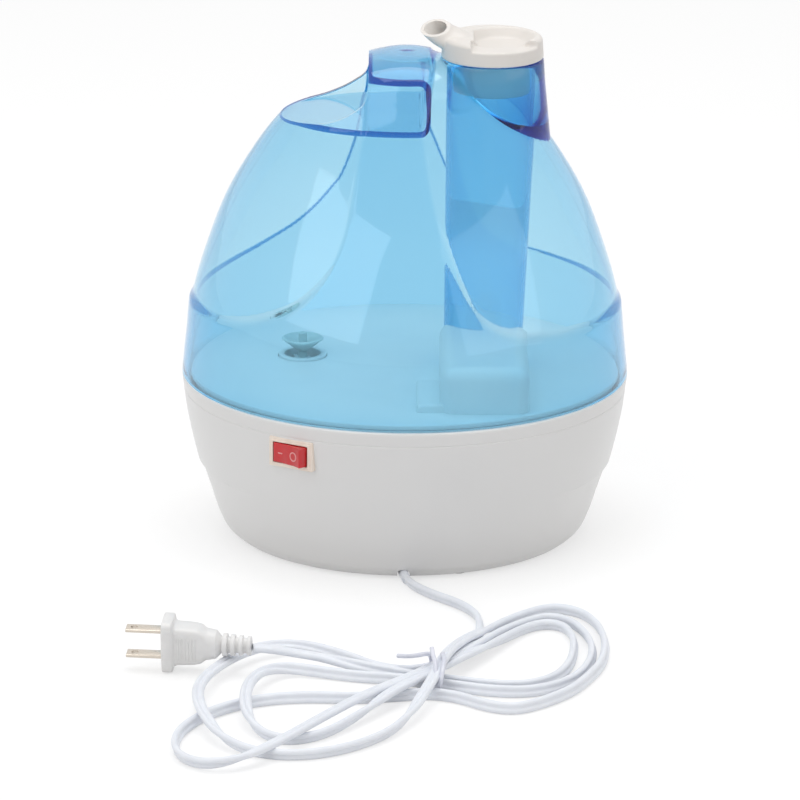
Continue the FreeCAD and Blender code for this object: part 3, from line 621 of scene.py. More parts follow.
def ribbed(name: str, count: int, pitch: float, radius: float, width: float, centre_z: float) -> bpy.types.Object:
    """Flat rings in a row along X, made with Geometry Nodes.

    Args:
        name: The object's name.
        count: Number of rings.
        pitch: Distance between rings, in millimetres.
        radius: Radius of the first ring.
        width: Length of each ring along X.
        centre_z: Height of the row, in millimetres.

    Returns:
        A plain mesh object; the node tree is gone from it.
    """
    tree = bpy.data.node_groups.new(name + "_rings", "GeometryNodeTree")
    face = tree.interface
    face.new_socket("Geometry", in_out="OUTPUT", socket_type="NodeSocketGeometry")
    sockets = {}
    for label, kind, value in (("Count", "NodeSocketInt", count), ("Pitch", "NodeSocketFloat", pitch * MM),
                               ("Radius", "NodeSocketFloat", radius * MM), ("Width", "NodeSocketFloat", width * MM),
                               ("Height", "NodeSocketFloat", centre_z * MM)):
        sockets[label] = face.new_socket(label, in_out="INPUT", socket_type=kind)
        sockets[label].default_value = value
    given = add(tree, "NodeGroupInput")
    reach = add(tree, "ShaderNodeCombineXYZ", {"X": given.outputs["Pitch"]})
    row = add(tree, "GeometryNodeMeshLine", {"Count": given.outputs["Count"], "Offset": reach.outputs[0]},
              mode="OFFSET")
    ring = add(tree, "GeometryNodeMeshCylinder", {"Vertices": 48, "Radius": given.outputs["Radius"],
                                                  "Depth": given.outputs["Width"]})
    index = add(tree, "GeometryNodeInputIndex")
    shrink = add(tree, "ShaderNodeMapRange", {"Value": index.outputs[0], "From Min": 0.0, "From Max": 4.0,
                                              "To Min": 1.0, "To Max": 0.76})
    copies = add(tree, "GeometryNodeInstanceOnPoints", {
        "Points": row.outputs["Mesh"], "Instance": ring.outputs["Mesh"], "Rotation": (0.0, math.pi / 2, 0.0),
        "Scale": shrink.outputs["Result"]})
    lift = add(tree, "ShaderNodeCombineXYZ", {"Z": given.outputs["Height"]})
    placed = add(tree, "GeometryNodeTransform", {"Geometry": copies.outputs["Instances"],
                                                 "Translation": lift.outputs[0]})
    return from_nodes(name, tree, placed, PLUG_PVC)


def from_nodes(name: str, tree: bpy.types.NodeTree, placed: bpy.types.Node, finish) -> bpy.types.Object:
    """End a Geometry Nodes tree, evaluate it once and keep its result as a plain mesh.

    Args:
        name: The object's name.
        tree: The tree, with its sizes as the sockets' defaults.
        placed: The node that gives the copies in their place.
        finish: The finish set in the tree.

    Returns:
        The object, without the modifier.
    """
    real = add(tree, "GeometryNodeRealizeInstances", {"Geometry": placed.outputs["Geometry"]})
    coat = add(tree, "GeometryNodeSetMaterial", {"Geometry": real.outputs["Geometry"], "Material": made(finish)})
    add(tree, "NodeGroupOutput", {"Geometry": coat.outputs["Geometry"]})
    thing = linked(name, bpy.data.meshes.new(name + "_seed"))
    step = thing.modifiers.new("repeat", "NODES")
    step.node_group = tree
    for item in tree.interface.items_tree:
        if item.in_out == "INPUT" and item.socket_type != "NodeSocketGeometry":
            step[item.identifier] = item.default_value
    bake_modifiers(thing)
    crisp(thing, 35.0)
    return thing


def spun(name: str, blade: bpy.types.Object, count: int, centre: tuple, finish) -> bpy.types.Object:
    """Copies of a blade round a vertical axis, made with Geometry Nodes.

    Args:
        name: The object's name.
        blade: The blade, drawn along X from the axis; it is dropped.
        count: Number of copies.
        centre: The axis's x and y and the blades' lift, in millimetres.
        finish: The finish set in the tree.

    Returns:
        A plain mesh object.
    """
    tree = bpy.data.node_groups.new(name + "_spin", "GeometryNodeTree")
    face = tree.interface
    face.new_socket("Geometry", in_out="OUTPUT", socket_type="NodeSocketGeometry")
    face.new_socket("Count", in_out="INPUT", socket_type="NodeSocketInt").default_value = count
    given = add(tree, "NodeGroupInput")
    seeds = add(tree, "GeometryNodeMeshLine", {"Count": given.outputs["Count"], "Offset": (0.0, 0.0, 0.0)},
                mode="OFFSET")
    index = add(tree, "GeometryNodeInputIndex")
    share = add(tree, "ShaderNodeMath", {0: index.outputs[0], 1: given.outputs["Count"]}, operation="DIVIDE")
    turn = add(tree, "ShaderNodeMath", {0: share.outputs[0], 1: 2 * math.pi}, operation="MULTIPLY")
    spin = add(tree, "ShaderNodeCombineXYZ", {"Z": turn.outputs[0]})
    shape = add(tree, "GeometryNodeObjectInfo", {"Object": blade})
    copies = add(tree, "GeometryNodeInstanceOnPoints", {
        "Points": seeds.outputs["Mesh"], "Instance": shape.outputs["Geometry"], "Rotation": spin.outputs[0]})
    placed = add(tree, "GeometryNodeTransform", {"Geometry": copies.outputs["Instances"],
                                                 "Translation": tuple(c * MM for c in centre)})
    thing = from_nodes(name, tree, placed, finish)
    bpy.data.objects.remove(blade, do_unlink=True)
    return thing


# ------------------------------------------------------------------ the base


def ramp(value, low: float, high: float):
    """A smooth step from 0 at low to 1 at high, for numbers or arrays."""
    t = np.clip((np.asarray(value, float) - low) / (high - low), 0.0, 1.0)
    return t * t * (3 - 2 * t)


@dataclass
class BaseShell:
    """The white bowl of the base: ledged finger grips, a parting groove and a soft rim."""

    stations: tuple = ((83.0, 1.0), (87.7, 5.0), (90.5, 10.6), (95.5, 21.5), (100.7, 37.9), (105.8, 60.5),
                       (108.25, 79.0))
    wall: float = 2.8
    lip_radius: float = 70.0
    grip_height: float = 37.0
    grip_depth: float = 1.5
    groove_height: float = 73.0
    groove_depth: float = 0.3
    # degrees from the sides over which a grip fades out, and heights over which it deepens
    grip_fade: tuple = (24.0, 46.0)
    grip_rise: tuple = (9.0, 24.0)
    around: int = 288

    def outer_radius(self, heights: np.ndarray) -> np.ndarray:
        """Radius of the outer wall at each height."""
        line = through(self.stations, 400)
        return np.interp(heights, line[:, 1], line[:, 0])

    def relief(self, turn: np.ndarray, height: float) -> np.ndarray:
        """How far the wall steps in at each angle of one height."""
        aside = np.degrees(np.abs(np.arcsin(np.clip(np.sin(turn), -1, 1))))
        grip = (1 - ramp(aside, *self.grip_fade)) * (1 - ramp(height, self.grip_height - 0.7, self.grip_height + 0.7))
        grip = grip * self.grip_depth * float(ramp(height, *self.grip_rise))
        groove = self.groove_depth * max(0.0, 1 - abs(height - self.groove_height) / 0.5)
        return grip + groove

    def build(self) -> None:
        """Build and dress the shell."""
        turn = np.linspace(0, 2 * math.pi, self.around, endpoint=False)
        fine = [self.grip_height + d for d in (-1.2, -0.7, -0.35, 0.0, 0.35, 0.7, 1.2)]
        groove = [self.groove_height + d for d in (-0.9, -0.5, 0.0, 0.5, 0.9)]
        heights = np.unique(np.concatenate([np.linspace(1.6, 79.0, 46), fine, groove]))
        rows = [(self.lip_radius, 1.0), (78.0, 1.0), (82.2, 1.0)]
        outer = list(zip(self.outer_radius(heights), heights))
        rim = [(108.1, 79.6), (107.6, 80.0), (106.4, 80.0), (105.7, 79.6), (105.4, 79.0)]
        inner = [(r - self.wall, z) for r, z in outer[-2::-4] if z > 6.0]
        rows += outer + rim + inner + [(80.0, 4.5), (self.lip_radius, 4.5)]
        first, last = 3, 3 + len(outer)
        grid = []
        for i, (radius, height) in enumerate(rows):
            reach = radius - (self.relief(turn, height) if first <= i < last else 0.0)
            grid.append(np.stack([reach * np.cos(turn), reach * np.sin(turn), np.full(self.around, height)], axis=1))
        grid = np.array(grid)
        shell = to_object("base_bowl", grid.reshape(-1, 3), skin(grid, wrap_rows=True), 38.0)
        carve(shell, block("window", (-10.3, -6, 58.7), (10.3, 26, 70.6), turn=SWITCH_PLACE), sharp=38.0)
        carve(shell, block("cord_notch", (-3.0, -118, -1), (3.0, -60, 5.9), 2.4), sharp=38.0)
        dress(shell, WHITE_ABS, Body.BASE, "white_abs", "base_shell")


SWITCH_REACH = 0.982 * RIM_RADIUS + 1.4
SWITCH_TURN = math.radians(-30.0)
SWITCH_PLACE = (Matrix.Translation((SWITCH_REACH * math.sin(SWITCH_TURN), -SWITCH_REACH * math.cos(SWITCH_TURN), 0.0))
                @ Matrix.Rotation(SWITCH_TURN, 4, "Z"))


@dataclass
class RockerSwitch:
    """The cream bezel and the red rocker with its bar and ring marks, drawn facing -Y."""

    width: float = 24.0
    height: float = 14.6
    level: float = 65.0
    rocker_half: float = 9.0
    rocker_height: float = 9.4
    pivot: float = 0.5
    out_angle: float = 35.0
    pressed_angle: float = 9.0

    def place(self, thing: bpy.types.Object) -> bpy.types.Object:
        """Move a piece drawn at the origin to the switch's place."""
        shift = SWITCH_PLACE.copy()
        shift.translation *= MM
        thing.data.transform(shift)
        return thing

    def build(self) -> None:
        """Build and dress the bezel, rocker and marks."""
        half_w, half_h, z = self.width / 2, self.height / 2, self.level
        plate = block("switch_bezel", (-half_w, 0, z - half_h), (half_w, 4, z + half_h), 0.8)
        carve(plate, block("body", (-10.0, 2.5, z - 6.2), (10.0, 19.8, z + 5.2), 0.4), Carve.ADD)
        lip = block("lip", (-10.6, -0.5, z - 6.0), (10.6, 2.0, z + 6.0), 0.5)
        carve(plate, lip, Carve.ADD)
        carve(plate, block("room", (-9.5, -3, z - 5.1), (9.5, 10.0, z + 5.1), 0.3))
        dress(self.place(plate), BEZEL_CREAM, Body.BASE, "cream_nylon", "switch_housing")
        self.build_rocker()

    def on_arc(self, side: float, angle: float) -> tuple[float, float]:
        """A point of the rocker's end wall at an angle out of the bezel's plane."""
        turn = math.radians(angle)
        return side * self.rocker_half * math.cos(turn), self.pivot - self.rocker_half * math.sin(turn)

    def build_rocker(self) -> None:
        """The paddle, with two slightly hollow faces, and its marks."""
        left, right = self.on_arc(-1, self.pressed_angle), self.on_arc(1, self.out_angle)
        valley = (-0.4, self.pivot - 2.7)
        face = [left]
        for a, b in ((left, valley), (valley, right)):
            for k in range(1, 9):
                t = k / 8
                sag = 0.45 * math.sin(math.pi * t)
                face.append((a[0] + (b[0] - a[0]) * t, a[1] + (b[1] - a[1]) * t + sag))
        back = [self.on_arc(1, a) for a in (26, 17, 8, 0, -9, -18)] + [(4.0, self.pivot + 5), (-4.0, self.pivot + 5)]
        back += [self.on_arc(-1, a) for a in (-18, -9, 0)]
        outline = np.array(face + back)
        count = len(outline)
        points = [(x, y, self.level + side * self.rocker_height / 2) for side in (-1, 1) for x, y in outline]
        paddle = to_object("rocker_paddle", np.array(points), prism_faces(count), 30.0)
        edge = paddle.modifiers.new("edge", "BEVEL")
        edge.width, edge.segments, edge.limit_method, edge.angle_limit = 0.35 * MM, 3, "ANGLE", math.radians(50)
        bake_modifiers(paddle)
        crisp(paddle, 30.0)
        dress(self.place(paddle), ROCKER_RED, Body.ROCKER, "rocker_red", "switch_rocker")
        bar = block("bar", (-6.6, -0.16, self.level - 0.28), (-4.0, 0.2, self.level + 0.28), 0.08)
        slope = math.atan2(valley[1] - left[1], valley[0] - left[0])
        middle = ((left[0] + valley[0]) / 2 - 0.3, (left[1] + valley[1]) / 2 + 0.4)
        bar.data.transform(Matrix.Translation((5.3 * MM, 0, 0)))
        bar.data.transform(Matrix.Translation((middle[0] * MM, middle[1] * MM, 0)) @ Matrix.Rotation(slope, 4, "Z"))
        ring = lathe("ring", [(1.75, -0.15), (2.3, -0.15), (2.3, 0.15), (1.75, 0.15)], around=40)
        slope = math.atan2(right[1] - valley[1], right[0] - valley[0])
        middle = ((right[0] + valley[0]) / 2 - 0.2, (right[1] + valley[1]) / 2 + 0.4)
        ring.data.transform(Matrix.Translation((middle[0] * MM, middle[1] * MM, self.level * MM))
                            @ Matrix.Rotation(slope, 4, "Z") @ Matrix.Rotation(math.pi / 2, 4, "X"))
        marks = join("rocker_marks", [bar, ring])
        dress(self.place(marks), ROCKER_MARK, Body.ROCKER, "rocker_red")


@dataclass
class Innards:
    """Everything under the deck, and the deck itself, in their own finishes."""

    fan_x: float = 37.6
    fan_low: float = 4.0
    blade_count: int = 7

    def build(self) -> None:
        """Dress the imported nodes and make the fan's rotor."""
        for node, finish in (("bottom_cover", PLAIN_ABS), ("rubber_feet", GREY_RUBBER), ("cover_screws", SCREW_STEEL),
                             ("base_deck", PLAIN_ABS), ("transducer_disc", PIEZO), ("transducer_seal", GREY_RUBBER),
                             ("transducer_clamp", SINK_METAL), ("driver_board", BOARD_GREEN),
                             ("heat_sink", SINK_METAL), ("fan_frame", BLACK_PBT), ("float_ring", FLOAT_FOAM),
                             ("switch_terminals", TAB_BRASS), ("cap_gasket", GREY_RUBBER), ("cord_gland", PLAIN_ABS)):
            paint_node(node, finish)
        blade = self.fan_blade()
        blades = spun("fan_blades", blade, self.blade_count, (self.fan_x, 0.0, self.fan_low), BLACK_PBT)
        hub = lathe("fan_hub", rounded_outline([(1.57, self.fan_low + 2, 0), (7.5, self.fan_low + 2, 0.4),
                                                (7.5, self.fan_low + 10, 1.2), (1.57, self.fan_low + 10, 0)]),
                    (self.fan_x, 0.0), 64)
        rotor = join("fan_wheel", [blades, hub])
        dress(rotor, BLACK_PBT, Body.FAN, "black_pbt", "fan_rotor")

    def fan_blade(self) -> bpy.types.Object:
        """One twisted, curved blade along X."""
        rows = []
        for t in np.linspace(0, 1, 9):
            x = 6.8 + t * 11.0
            pitch = math.radians(52 - 26 * t)
            chord = 5.2 + 2.6 * t
            ring = []
            for s in np.concatenate([np.linspace(-0.5, 0.5, 7), np.linspace(0.5, -0.5, 7)[1:-1]]):
                side = 0.35 if len(ring) < 7 else -0.35
                across = s * chord
                bulge = 0.5 * (1 - (2 * s) ** 2) + side
                y = across * math.cos(pitch) - bulge * math.sin(pitch)
                z = 6.0 + across * math.sin(pitch) + bulge * math.cos(pitch)
                ring.append((x, y, min(max(z, 2.6), 9.4)))
            rows.append(ring)
        grid = np.array(rows)
        return to_object("fan_blade", grid.reshape(-1, 3), skin(grid, caps=True), 50.0)


# ------------------------------------------------------------------ the tank


@dataclass
class TankDome:
    """The clear dome: bell panels proud of the sides, a strap over a hand pocket, and the neck."""

    rim: float = RIM_RADIUS
    low: float = SEAM
    crown: float = 239.4
    wall: float = 2.4
    step: float = 1.3
    curve: tuple = ((1.0, 0.99, 0.0), (0.982, 0.967, 0.12), (0.961, 0.938, 0.25), (0.897, 0.86, 0.4),
                    (0.812, 0.74, 0.55), (0.694, 0.575, 0.69), (0.572, 0.425, 0.8), (0.42, 0.335, 0.89),
                    (0.28, 0.27, 0.955), (0.13, 0.15, 0.991), (0.0, 0.0, 1.0))
    # edge of the bell panel on the left and on the right, as (x, height)
    left_edge: tuple = ((-18.4, 242.0), (-18.6, 219.0), (-19.2, 210.0), (-21.0, 202.0), (-22.7, 191.0),
                        (-25.7, 174.0), (-31.8, 156.6), (-39.8, 145.0), (-49.7, 135.2), (-59.7, 128.8),
                        (-73.2, 122.7), (-85.0, 119.4), (-98.0, 117.5), (-115.0, 117.0))
    right_edge: tuple = ((11.5, 242.0), (9.6, 223.0), (7.0, 209.0), (7.6, 201.0), (11.2, 183.5), (16.7, 166.3),
                         (25.1, 147.7), (32.7, 134.1), (43.1, 124.5), (56.0, 119.5), (72.0, 117.6),
                         (90.0, 117.0), (115.0, 117.0))
    around: int = 400
    rows: int = 150
    # how far the points round the dome are drawn together at the front and back
    bunching: float = 0.11
    # half lengths along Y of the tools that cut the pocket and its mouth
    pocket_half: float = 80.0
    mouth_half: float = 90.0

    def surface(self, inset: float, around: np.ndarray, rows: int) -> np.ndarray:
        """A grid of points on the dome, moved inwards by inset along its own slope."""
        line = through([(w * self.rim, d * self.rim, self.low + s * (self.crown - self.low))
                        for w, d, s in self.curve], rows)
        line[:, 2] = np.minimum(line[:, 2], self.crown)
        line[:, :2] = np.maximum(line[:, :2], 0.0)
        grid = np.stack([line[:, None, 0] * np.cos(around), line[:, None, 1] * np.sin(around),
                         np.repeat(line[:, 2:3], len(around), axis=1)], axis=2)
        if inset:
            along = np.gradient(grid, axis=0)
            side = np.stack([-line[:, None, 0] * np.sin(around), line[:, None, 1] * np.cos(around),
                             np.zeros((rows, len(around)))], axis=2)
            side[-1] = side[-2]
            normal = np.cross(side, along)
            normal /= np.maximum(np.linalg.norm(normal, axis=2, keepdims=True), 1e-9)
            normal[-1] = (0, 0, 1)
            grid = grid - inset * normal
            grid[-1] = (0, 0, self.crown - inset)
        return grid

    def panel_depth(self, grid: np.ndarray) -> np.ndarray:
        """How far the sides lie below the bell panels, from the distance to the panels' edges."""
        flat = grid[:, :, [0, 2]].reshape(-1, 2)
        depth = np.zeros(len(flat))
        for edge, sign in ((self.left_edge, -1.0), (self.right_edge, 1.0)):
            line = through(edge, 90)
            start, run = line[:-1], np.diff(line, axis=0)
            length = np.maximum((run**2).sum(axis=1), 1e-9)
            nearest = np.full(len(flat), 1e9)
            side = np.zeros(len(flat))
            for a, d, size in zip(start, run, length):
                t = np.clip(((flat - a) @ d) / size, 0, 1)
                gap = flat - a - t[:, None] * d
                away = np.hypot(gap[:, 0], gap[:, 1])
                closer = away < nearest
                cross = d[0] * gap[:, 1] - d[1] * gap[:, 0]
                side = np.where(closer, np.sign(cross) * sign, side)
                nearest = np.where(closer, away, nearest)
            signed = nearest * side
            depth = np.maximum(depth, ramp(signed, -0.2, 2.4) * self.step)
        return depth.reshape(grid.shape[:2])

    def outer(self) -> bpy.types.Object:
        """The dome's outer skin, closed at its rim."""
        dense = np.linspace(0, 2 * math.pi, self.around, endpoint=False)
        dense = dense + self.bunching * np.sin(2 * dense)
        grid = self.surface(0.0, dense, self.rows)
        depth = self.panel_depth(grid)
        flat = np.hypot(grid[:, :, 0], grid[:, :, 1])
        share = np.where(flat > 1e-6, depth / np.maximum(flat, 1e-6), 0.0)
        share = np.minimum(share, 0.5)
        top = ramp(grid[:, :, 2], 206.0, 236.0)
        grid[:, :, 0] -= grid[:, :, 0] * share * (1 - top)
        grid[:, :, 1] -= grid[:, :, 1] * share * (1 - top)
        grid[:, :, 2] -= depth * top
        return to_object("tank_dome_clear", grid.reshape(-1, 3), skin(grid) + [list(range(self.around))[::-1]], 50.0)

    def water(self) -> bpy.types.Object:
        """The water space, without the pocket."""
        around = np.linspace(0, 2 * math.pi, 180, endpoint=False)
        grid = self.surface(self.wall + self.step * 0.5, around, 90)
        grid[0, :, 2] = self.low - 2.0
        return to_object("water", grid.reshape(-1, 3), skin(grid) + [list(range(180))[::-1]], 50.0)

    def prism(self, name: str, outline: list, half: float) -> bpy.types.Object:
        """A prism along Y through (x, height) points."""
        count = len(outline)
        points = [(x, y, z) for y in (-half, half) for x, z in outline]
        return to_object(name, np.array(points), prism_faces(count), 40.0)

    def mouth(self, grow: float) -> list:
        """Outline of what is cut away left of the strap, as (x, height)."""
        line = through([(-90.0, 206.0), (-62.0, 207.6), (-46.0, 209.3), (-39.0, 210.2), (-31.0, 213.0),
                        (-25.0, 216.4), (-20.9, 219.6), (-18.8, 224.0), (-18.3, 231.0)], 40)
        line = [(x + (grow if z > 218 else 0.0), z - grow) for x, z in line]
        return line + [(-18.3 + grow, 262.0), (-90.0, 262.0)]

    def pocket(self, name: str, grow: float, half: float) -> bpy.types.Object:
        """The hand's room under the strap, square with soft corners, as a prism."""
        low, high, end = 208.7 - grow, 228.0 + grow, 9.0 + grow
        corner = 4.0 + grow
        outline = rounded_outline([(-95.0, low, 0), (end, low, corner), (end, high, corner), (-95.0, high, 0)], 8)
        return self.prism(name, outline, half)

    def build(self) -> None:
        """Build and dress the dome."""
        dome = self.outer()
        neck = lathe("neck", [(0.0, 170.0), (31.6, 170.0), (29.0, 190.0), (27.0, 210.0), (25.4, 226.0),
                              (24.8, 234.6), (24.5, 235.6), (23.9, NECK_TOP), (0.0, NECK_TOP)], NECK_AXIS, 160,
                     closed=False, sharp=40.0)
        carve(dome, neck, Carve.ADD, sharp=40.0)
        water = self.water()
        room = self.pocket("room", self.wall, self.pocket_half)
        above = self.prism("above", self.mouth(self.wall), self.pocket_half)
        air = self.pocket("air", 0.0, self.pocket_half)
        inner = self.water()
        carve(air, inner, Carve.KEEP)
        carve(water, room, sharp=40.0)
        carve(water, above, sharp=40.0)
        carve(dome, water, sharp=40.0)
        carve(dome, air, sharp=40.0)
        carve(dome, self.prism("mouth", self.mouth(0.0), self.mouth_half), sharp=40.0)
        # a little wider than the tube, and run on past both of its ends
        bore = taper("bore", (TUBE_LOW[0], TUBE_LOW[1] - 4.0, TUBE_LOW[2] + 0.08),
                     (TUBE_HIGH[0] + 0.03, TUBE_HIGH[1] + 1.0, TUBE_HIGH[2] + 0.1))
        carve(dome, bore, sharp=40.0)
        dress(dome, TANK_BLUE, Body.TANK, "blue_san", "tank_dome")


def taper(name: str, low: tuple, high: tuple, around: int = 144) -> bpy.types.Object:
    """A closed leaning tube solid between two level circles, each (x, height, radius)."""
    turn = np.linspace(0, 2 * math.pi, around, endpoint=False)
    rows = []
    for t in np.linspace(0, 1, 13):
        x, z, r = ((1 - t) * a + t * b for a, b in zip(low, high))
        rows.append(np.stack([x + r * np.cos(turn), r * np.sin(turn), np.full(around, z)], axis=1))
    grid = np.array(rows)
    return to_object(name, grid.reshape(-1, 3), skin(grid, caps=True), 40.0)


@dataclass
class MistChimney:
    """The deep blue tube that leans from the hood up into the neck."""

    low: tuple = TUBE_LOW
    high: tuple = TUBE_HIGH
    wall: float = 1.8
    # how far the flue's tool runs on past each end
    past: float = 5

    def build(self) -> None:
        """Build and dress the tube."""
        tube = taper("mist_tube", self.low, self.high)
        x0, z0, r0 = self.low
        x1, z1, r1 = self.high
        lean = (x1 - x0) / (z1 - z0)
        flare = (r1 - r0) / (z1 - z0)
        flue = taper("flue", (x0 - lean * self.past, z0 - self.past, r0 - flare * self.past - self.wall),
                     (x1 + lean * self.past, z1 + self.past, r1 + flare * self.past - self.wall))
        carve(tube, flue, sharp=40.0)
        carve(tube, block("port", (25.6, -40, 85), (49.6, -6, 102), 3.0), sharp=40.0)
        dress(tube, TUBE_BLUE, Body.TANK, "blue_san", "mist_chimney")


@dataclass
class TankFloor:
    """The white floor of the tank: plate, skirt, mist hood with its step, and the fill collar."""

    plate_radius: float = 103.6
    low: float = SEAM
    thick: float = 2.5
    hood_low: tuple = (16.6, -85.0)
    hood_high: tuple = (58.6, 0.0)
    hood_top: float = 105.0
    wall: float = 2.0
    valve: tuple = VALVE_AXIS

    def build(self) -> None:
        """Build and dress the floor."""
        low, top = self.low, self.low + self.thick
        plate = lathe("tank_base_plate", rounded_outline([
            (0.0, low, 0), (100.2, low, 0), (100.2, 76.4, 0.3), (102.2, 76.4, 0.3), (102.2, low, 0),
            (self.plate_radius, low, 0.3), (self.plate_radius, top, 0.8), (0.0, top, 0)]), around=180, closed=False)
        (x0, y0), (x1, y1) = self.hood_low, self.hood_high
        hood = block("hood", (x0, y0, low - 12), (x1, y1, self.hood_top), 7.0, 6)
        step = block("step", (5.6, -83.0, low + 0.4), (20.6, -41.0, 86.9), 1.6, 4)
        carve(hood, block("lower", (-20, -100, 60), (90, 20, low + 0.2)))
        carve(plate, hood, Carve.ADD)
        carve(plate, step, Carve.ADD)
        w = self.wall
        carve(plate, block("inside", (x0 + w, y0 + w, 70), (x1 - w, y1 - w, self.hood_top - w), 5.0, 6))
        collar = lathe("collar", [(17.0, 70.4), (19.5, 70.4), (19.5, low + 0.5), (17.0, low + 0.5)], self.valve, 96)
        carve(plate, collar, Carve.ADD)
        carve(plate, lathe("hole", [(0, 76.0), (12.1, 76.0), (12.1, 90), (0, 90)], self.valve, 96, closed=False))
        carve(plate, taper("seat", (37.5, 76.0, 18.82), (38.6, 112.0, 19.5)))
        dress(plate, TANK_WHITE, Body.TANK, "white_tank", "tank_floor")


@dataclass
class FillValve:
    """The screw cap under the tank and the silicone umbrella that stands up through it."""

    place: tuple = VALVE_AXIS

    def build(self) -> None:
        """Build and dress the cap and the plunger."""
        cup = lathe("fill_cap_cup", rounded_outline([
            (4.0, 67.6, 0.3), (22.3, 67.6, 1.0), (22.3, 78.4, 0.4), (19.9, 78.4, 0.4), (19.9, 70.0, 0.3),
            (11.7, 70.0, 0.3), (11.7, 84.1, 0.7), (8.8, 84.1, 0.7), (8.8, 70.0, 0.2), (4.0, 70.0, 0.2)]),
            self.place, 120)
        x, y = self.place
        pipe = lathe("guide", [(2.27, 77.0), (3.8, 77.0), (3.8, 82.0), (2.27, 82.0)], self.place, 48)
        spokes = [block(f"spoke_{i}", (2.6, -0.7, 78.0), (9.4, 0.7, 81.0), 0.3,
                        turn=Matrix.Translation((x, y, 0)) @ Matrix.Rotation(i * 2 * math.pi / 3, 4, "Z"))
                  for i in range(3)]
        ribs = [block(f"grip_{i}", (21.6, -0.9, 68.6), (22.6, 0.9, 77.4), 0.4,
                      turn=Matrix.Translation((x, y, 0)) @ Matrix.Rotation(i * math.pi / 12, 4, "Z"))
                for i in range(24)]
        cap = join("fill_cap_moulding", [cup, pipe, *spokes, *ribs])
        dress(cap, TANK_WHITE, Body.CAP, "white_tank", "fill_cap")
        umbrella = lathe("valve_umbrella", rounded_outline([
            (0.0, 65.6, 0), (2.2, 65.6, 0.3), (2.2, 84.9, 1.2), (10.4, 91.2, 0.4), (9.4, 91.9, 0.4),
            (2.4, 86.9, 1.5), (2.0, 94.2, 0.6), (0.0, 94.9, 0)]), self.place, 72, closed=False)
        dress(umbrella, SILICONE, Body.VALVE, "clear_silicone", "valve_plunger")


@dataclass
class Nozzle:
    """The white turning cap: a dished disc with a skirt, and a spout that rises to one side."""

    axis: tuple = NECK_AXIS
    radius: float = 24.6
    low: float = 236.4
    high: float = 246.7
    dish_radius: float = 17.2
    dish_at: tuple = (44.7, 0.2)
    # in front of the chord the top is a lower shelf
    chord: float = -10.0
    shelf_drop: float = 3.1
    # spout rings: x, height, half width, half thickness, lean of the ring in degrees
    spout: tuple = ((31.5, 241.6, 13.5, 5.0, 88.0), (26.0, 242.9, 11.6, 5.7, 70.0), (21.2, 245.0, 9.4, 6.0, 46.0),
                    (16.8, 247.4, 8.2, 6.4, 26.0), (13.0, 250.6, 7.5, 7.2, 8.0))
    # degrees by which the mouth is tipped towards the front
    tip_angle: float = 20.0

    def tube(self, name: str, shrink: float, extra: float) -> bpy.types.Object:
        """The spout as a solid, its mouth tipped towards the front."""
        line = through(self.spout, 26)
        if extra:
            line = np.vstack([line, line[-1] + (line[-1] - line[-2]) * extra])
        turn = np.linspace(0, 2 * math.pi, 56, endpoint=False)
        rows = []
        for i, (x, z, wide, thick, lean) in enumerate(line):
            tip = math.radians(self.tip_angle) * i / (len(line) - 1)
            a = math.radians(lean)
            across = np.array([0.0, math.cos(tip), math.sin(tip)])
            over = np.array([math.cos(a), 0.0, math.sin(a)])
            rows.append(np.array([x, 0.0, z]) + np.outer(np.cos(turn) * (wide - shrink), across)
                        + np.outer(np.sin(turn) * (thick - shrink), over))
        grid = np.array(rows)
        return to_object(name, grid.reshape(-1, 3), skin(grid, caps=True), 60.0)

    def build(self) -> None:
        """Build and dress the nozzle."""
        cap = lathe("nozzle_cap", rounded_outline([
            (0.0, 238.4, 0), (17.2, 238.4, 0.6), (17.2, 220.0, 0.3), (18.8, 220.0, 0.3), (18.8, self.low, 0),
            (self.radius, self.low, 0.3), (self.radius - 0.6, self.high - 1.2, 0),
            (self.radius - 2.0, self.high, 1.2),
            (self.radius - 5.0, self.high + 0.3, 2.0), (0.0, self.high - 0.3, 0)]), self.axis, 144, closed=False)
        carve(cap, block("shelf", (30.5, -40, self.high - self.shelf_drop), (90, self.chord, 270)))
        dish = lathe("dish", rounded_outline([(0.0, self.high - 4.6, 0),
                                              (self.dish_radius - 4.5, self.high - 4.6, 3.0),
                                              (self.dish_radius, self.high + 0.6, 0.0),
                                              (self.dish_radius, 262.0, 0), (0.0, 262.0, 0)]),
                     self.dish_at, 96, closed=False)
        carve(dish, block("left", (0, -60, 230), (32.0, 60, 270)))
        carve(cap, dish)
        carve(cap, self.tube("spout", 0.0, 3.0), Carve.ADD)
        melt(cap, 0.55, 6)
        x, z = self.spout[-1][:2]
        tip = (Matrix.Translation((x, 0, z)) @ Matrix.Rotation(math.radians(self.tip_angle), 4, "X")
               @ Matrix.Rotation(math.radians(-self.spout[-1][4]), 4, "Y"))
        carve(cap, block("tip", (-15, -15, -0.4), (15, 15, 14), turn=tip))
        carve(cap, self.tube("bore", 1.7, 4.0))
        carve(cap, lathe("throat", [(0, 225), (8.5, 225), (8.5, 239.6), (0, 239.6)], (32.5, 0.0), 64, closed=False))
        dress(cap, NOZZLE_WHITE, Body.NOZZLE, "white_nozzle", "mist_nozzle")


# ------------------------------------------------------------- cord and plug

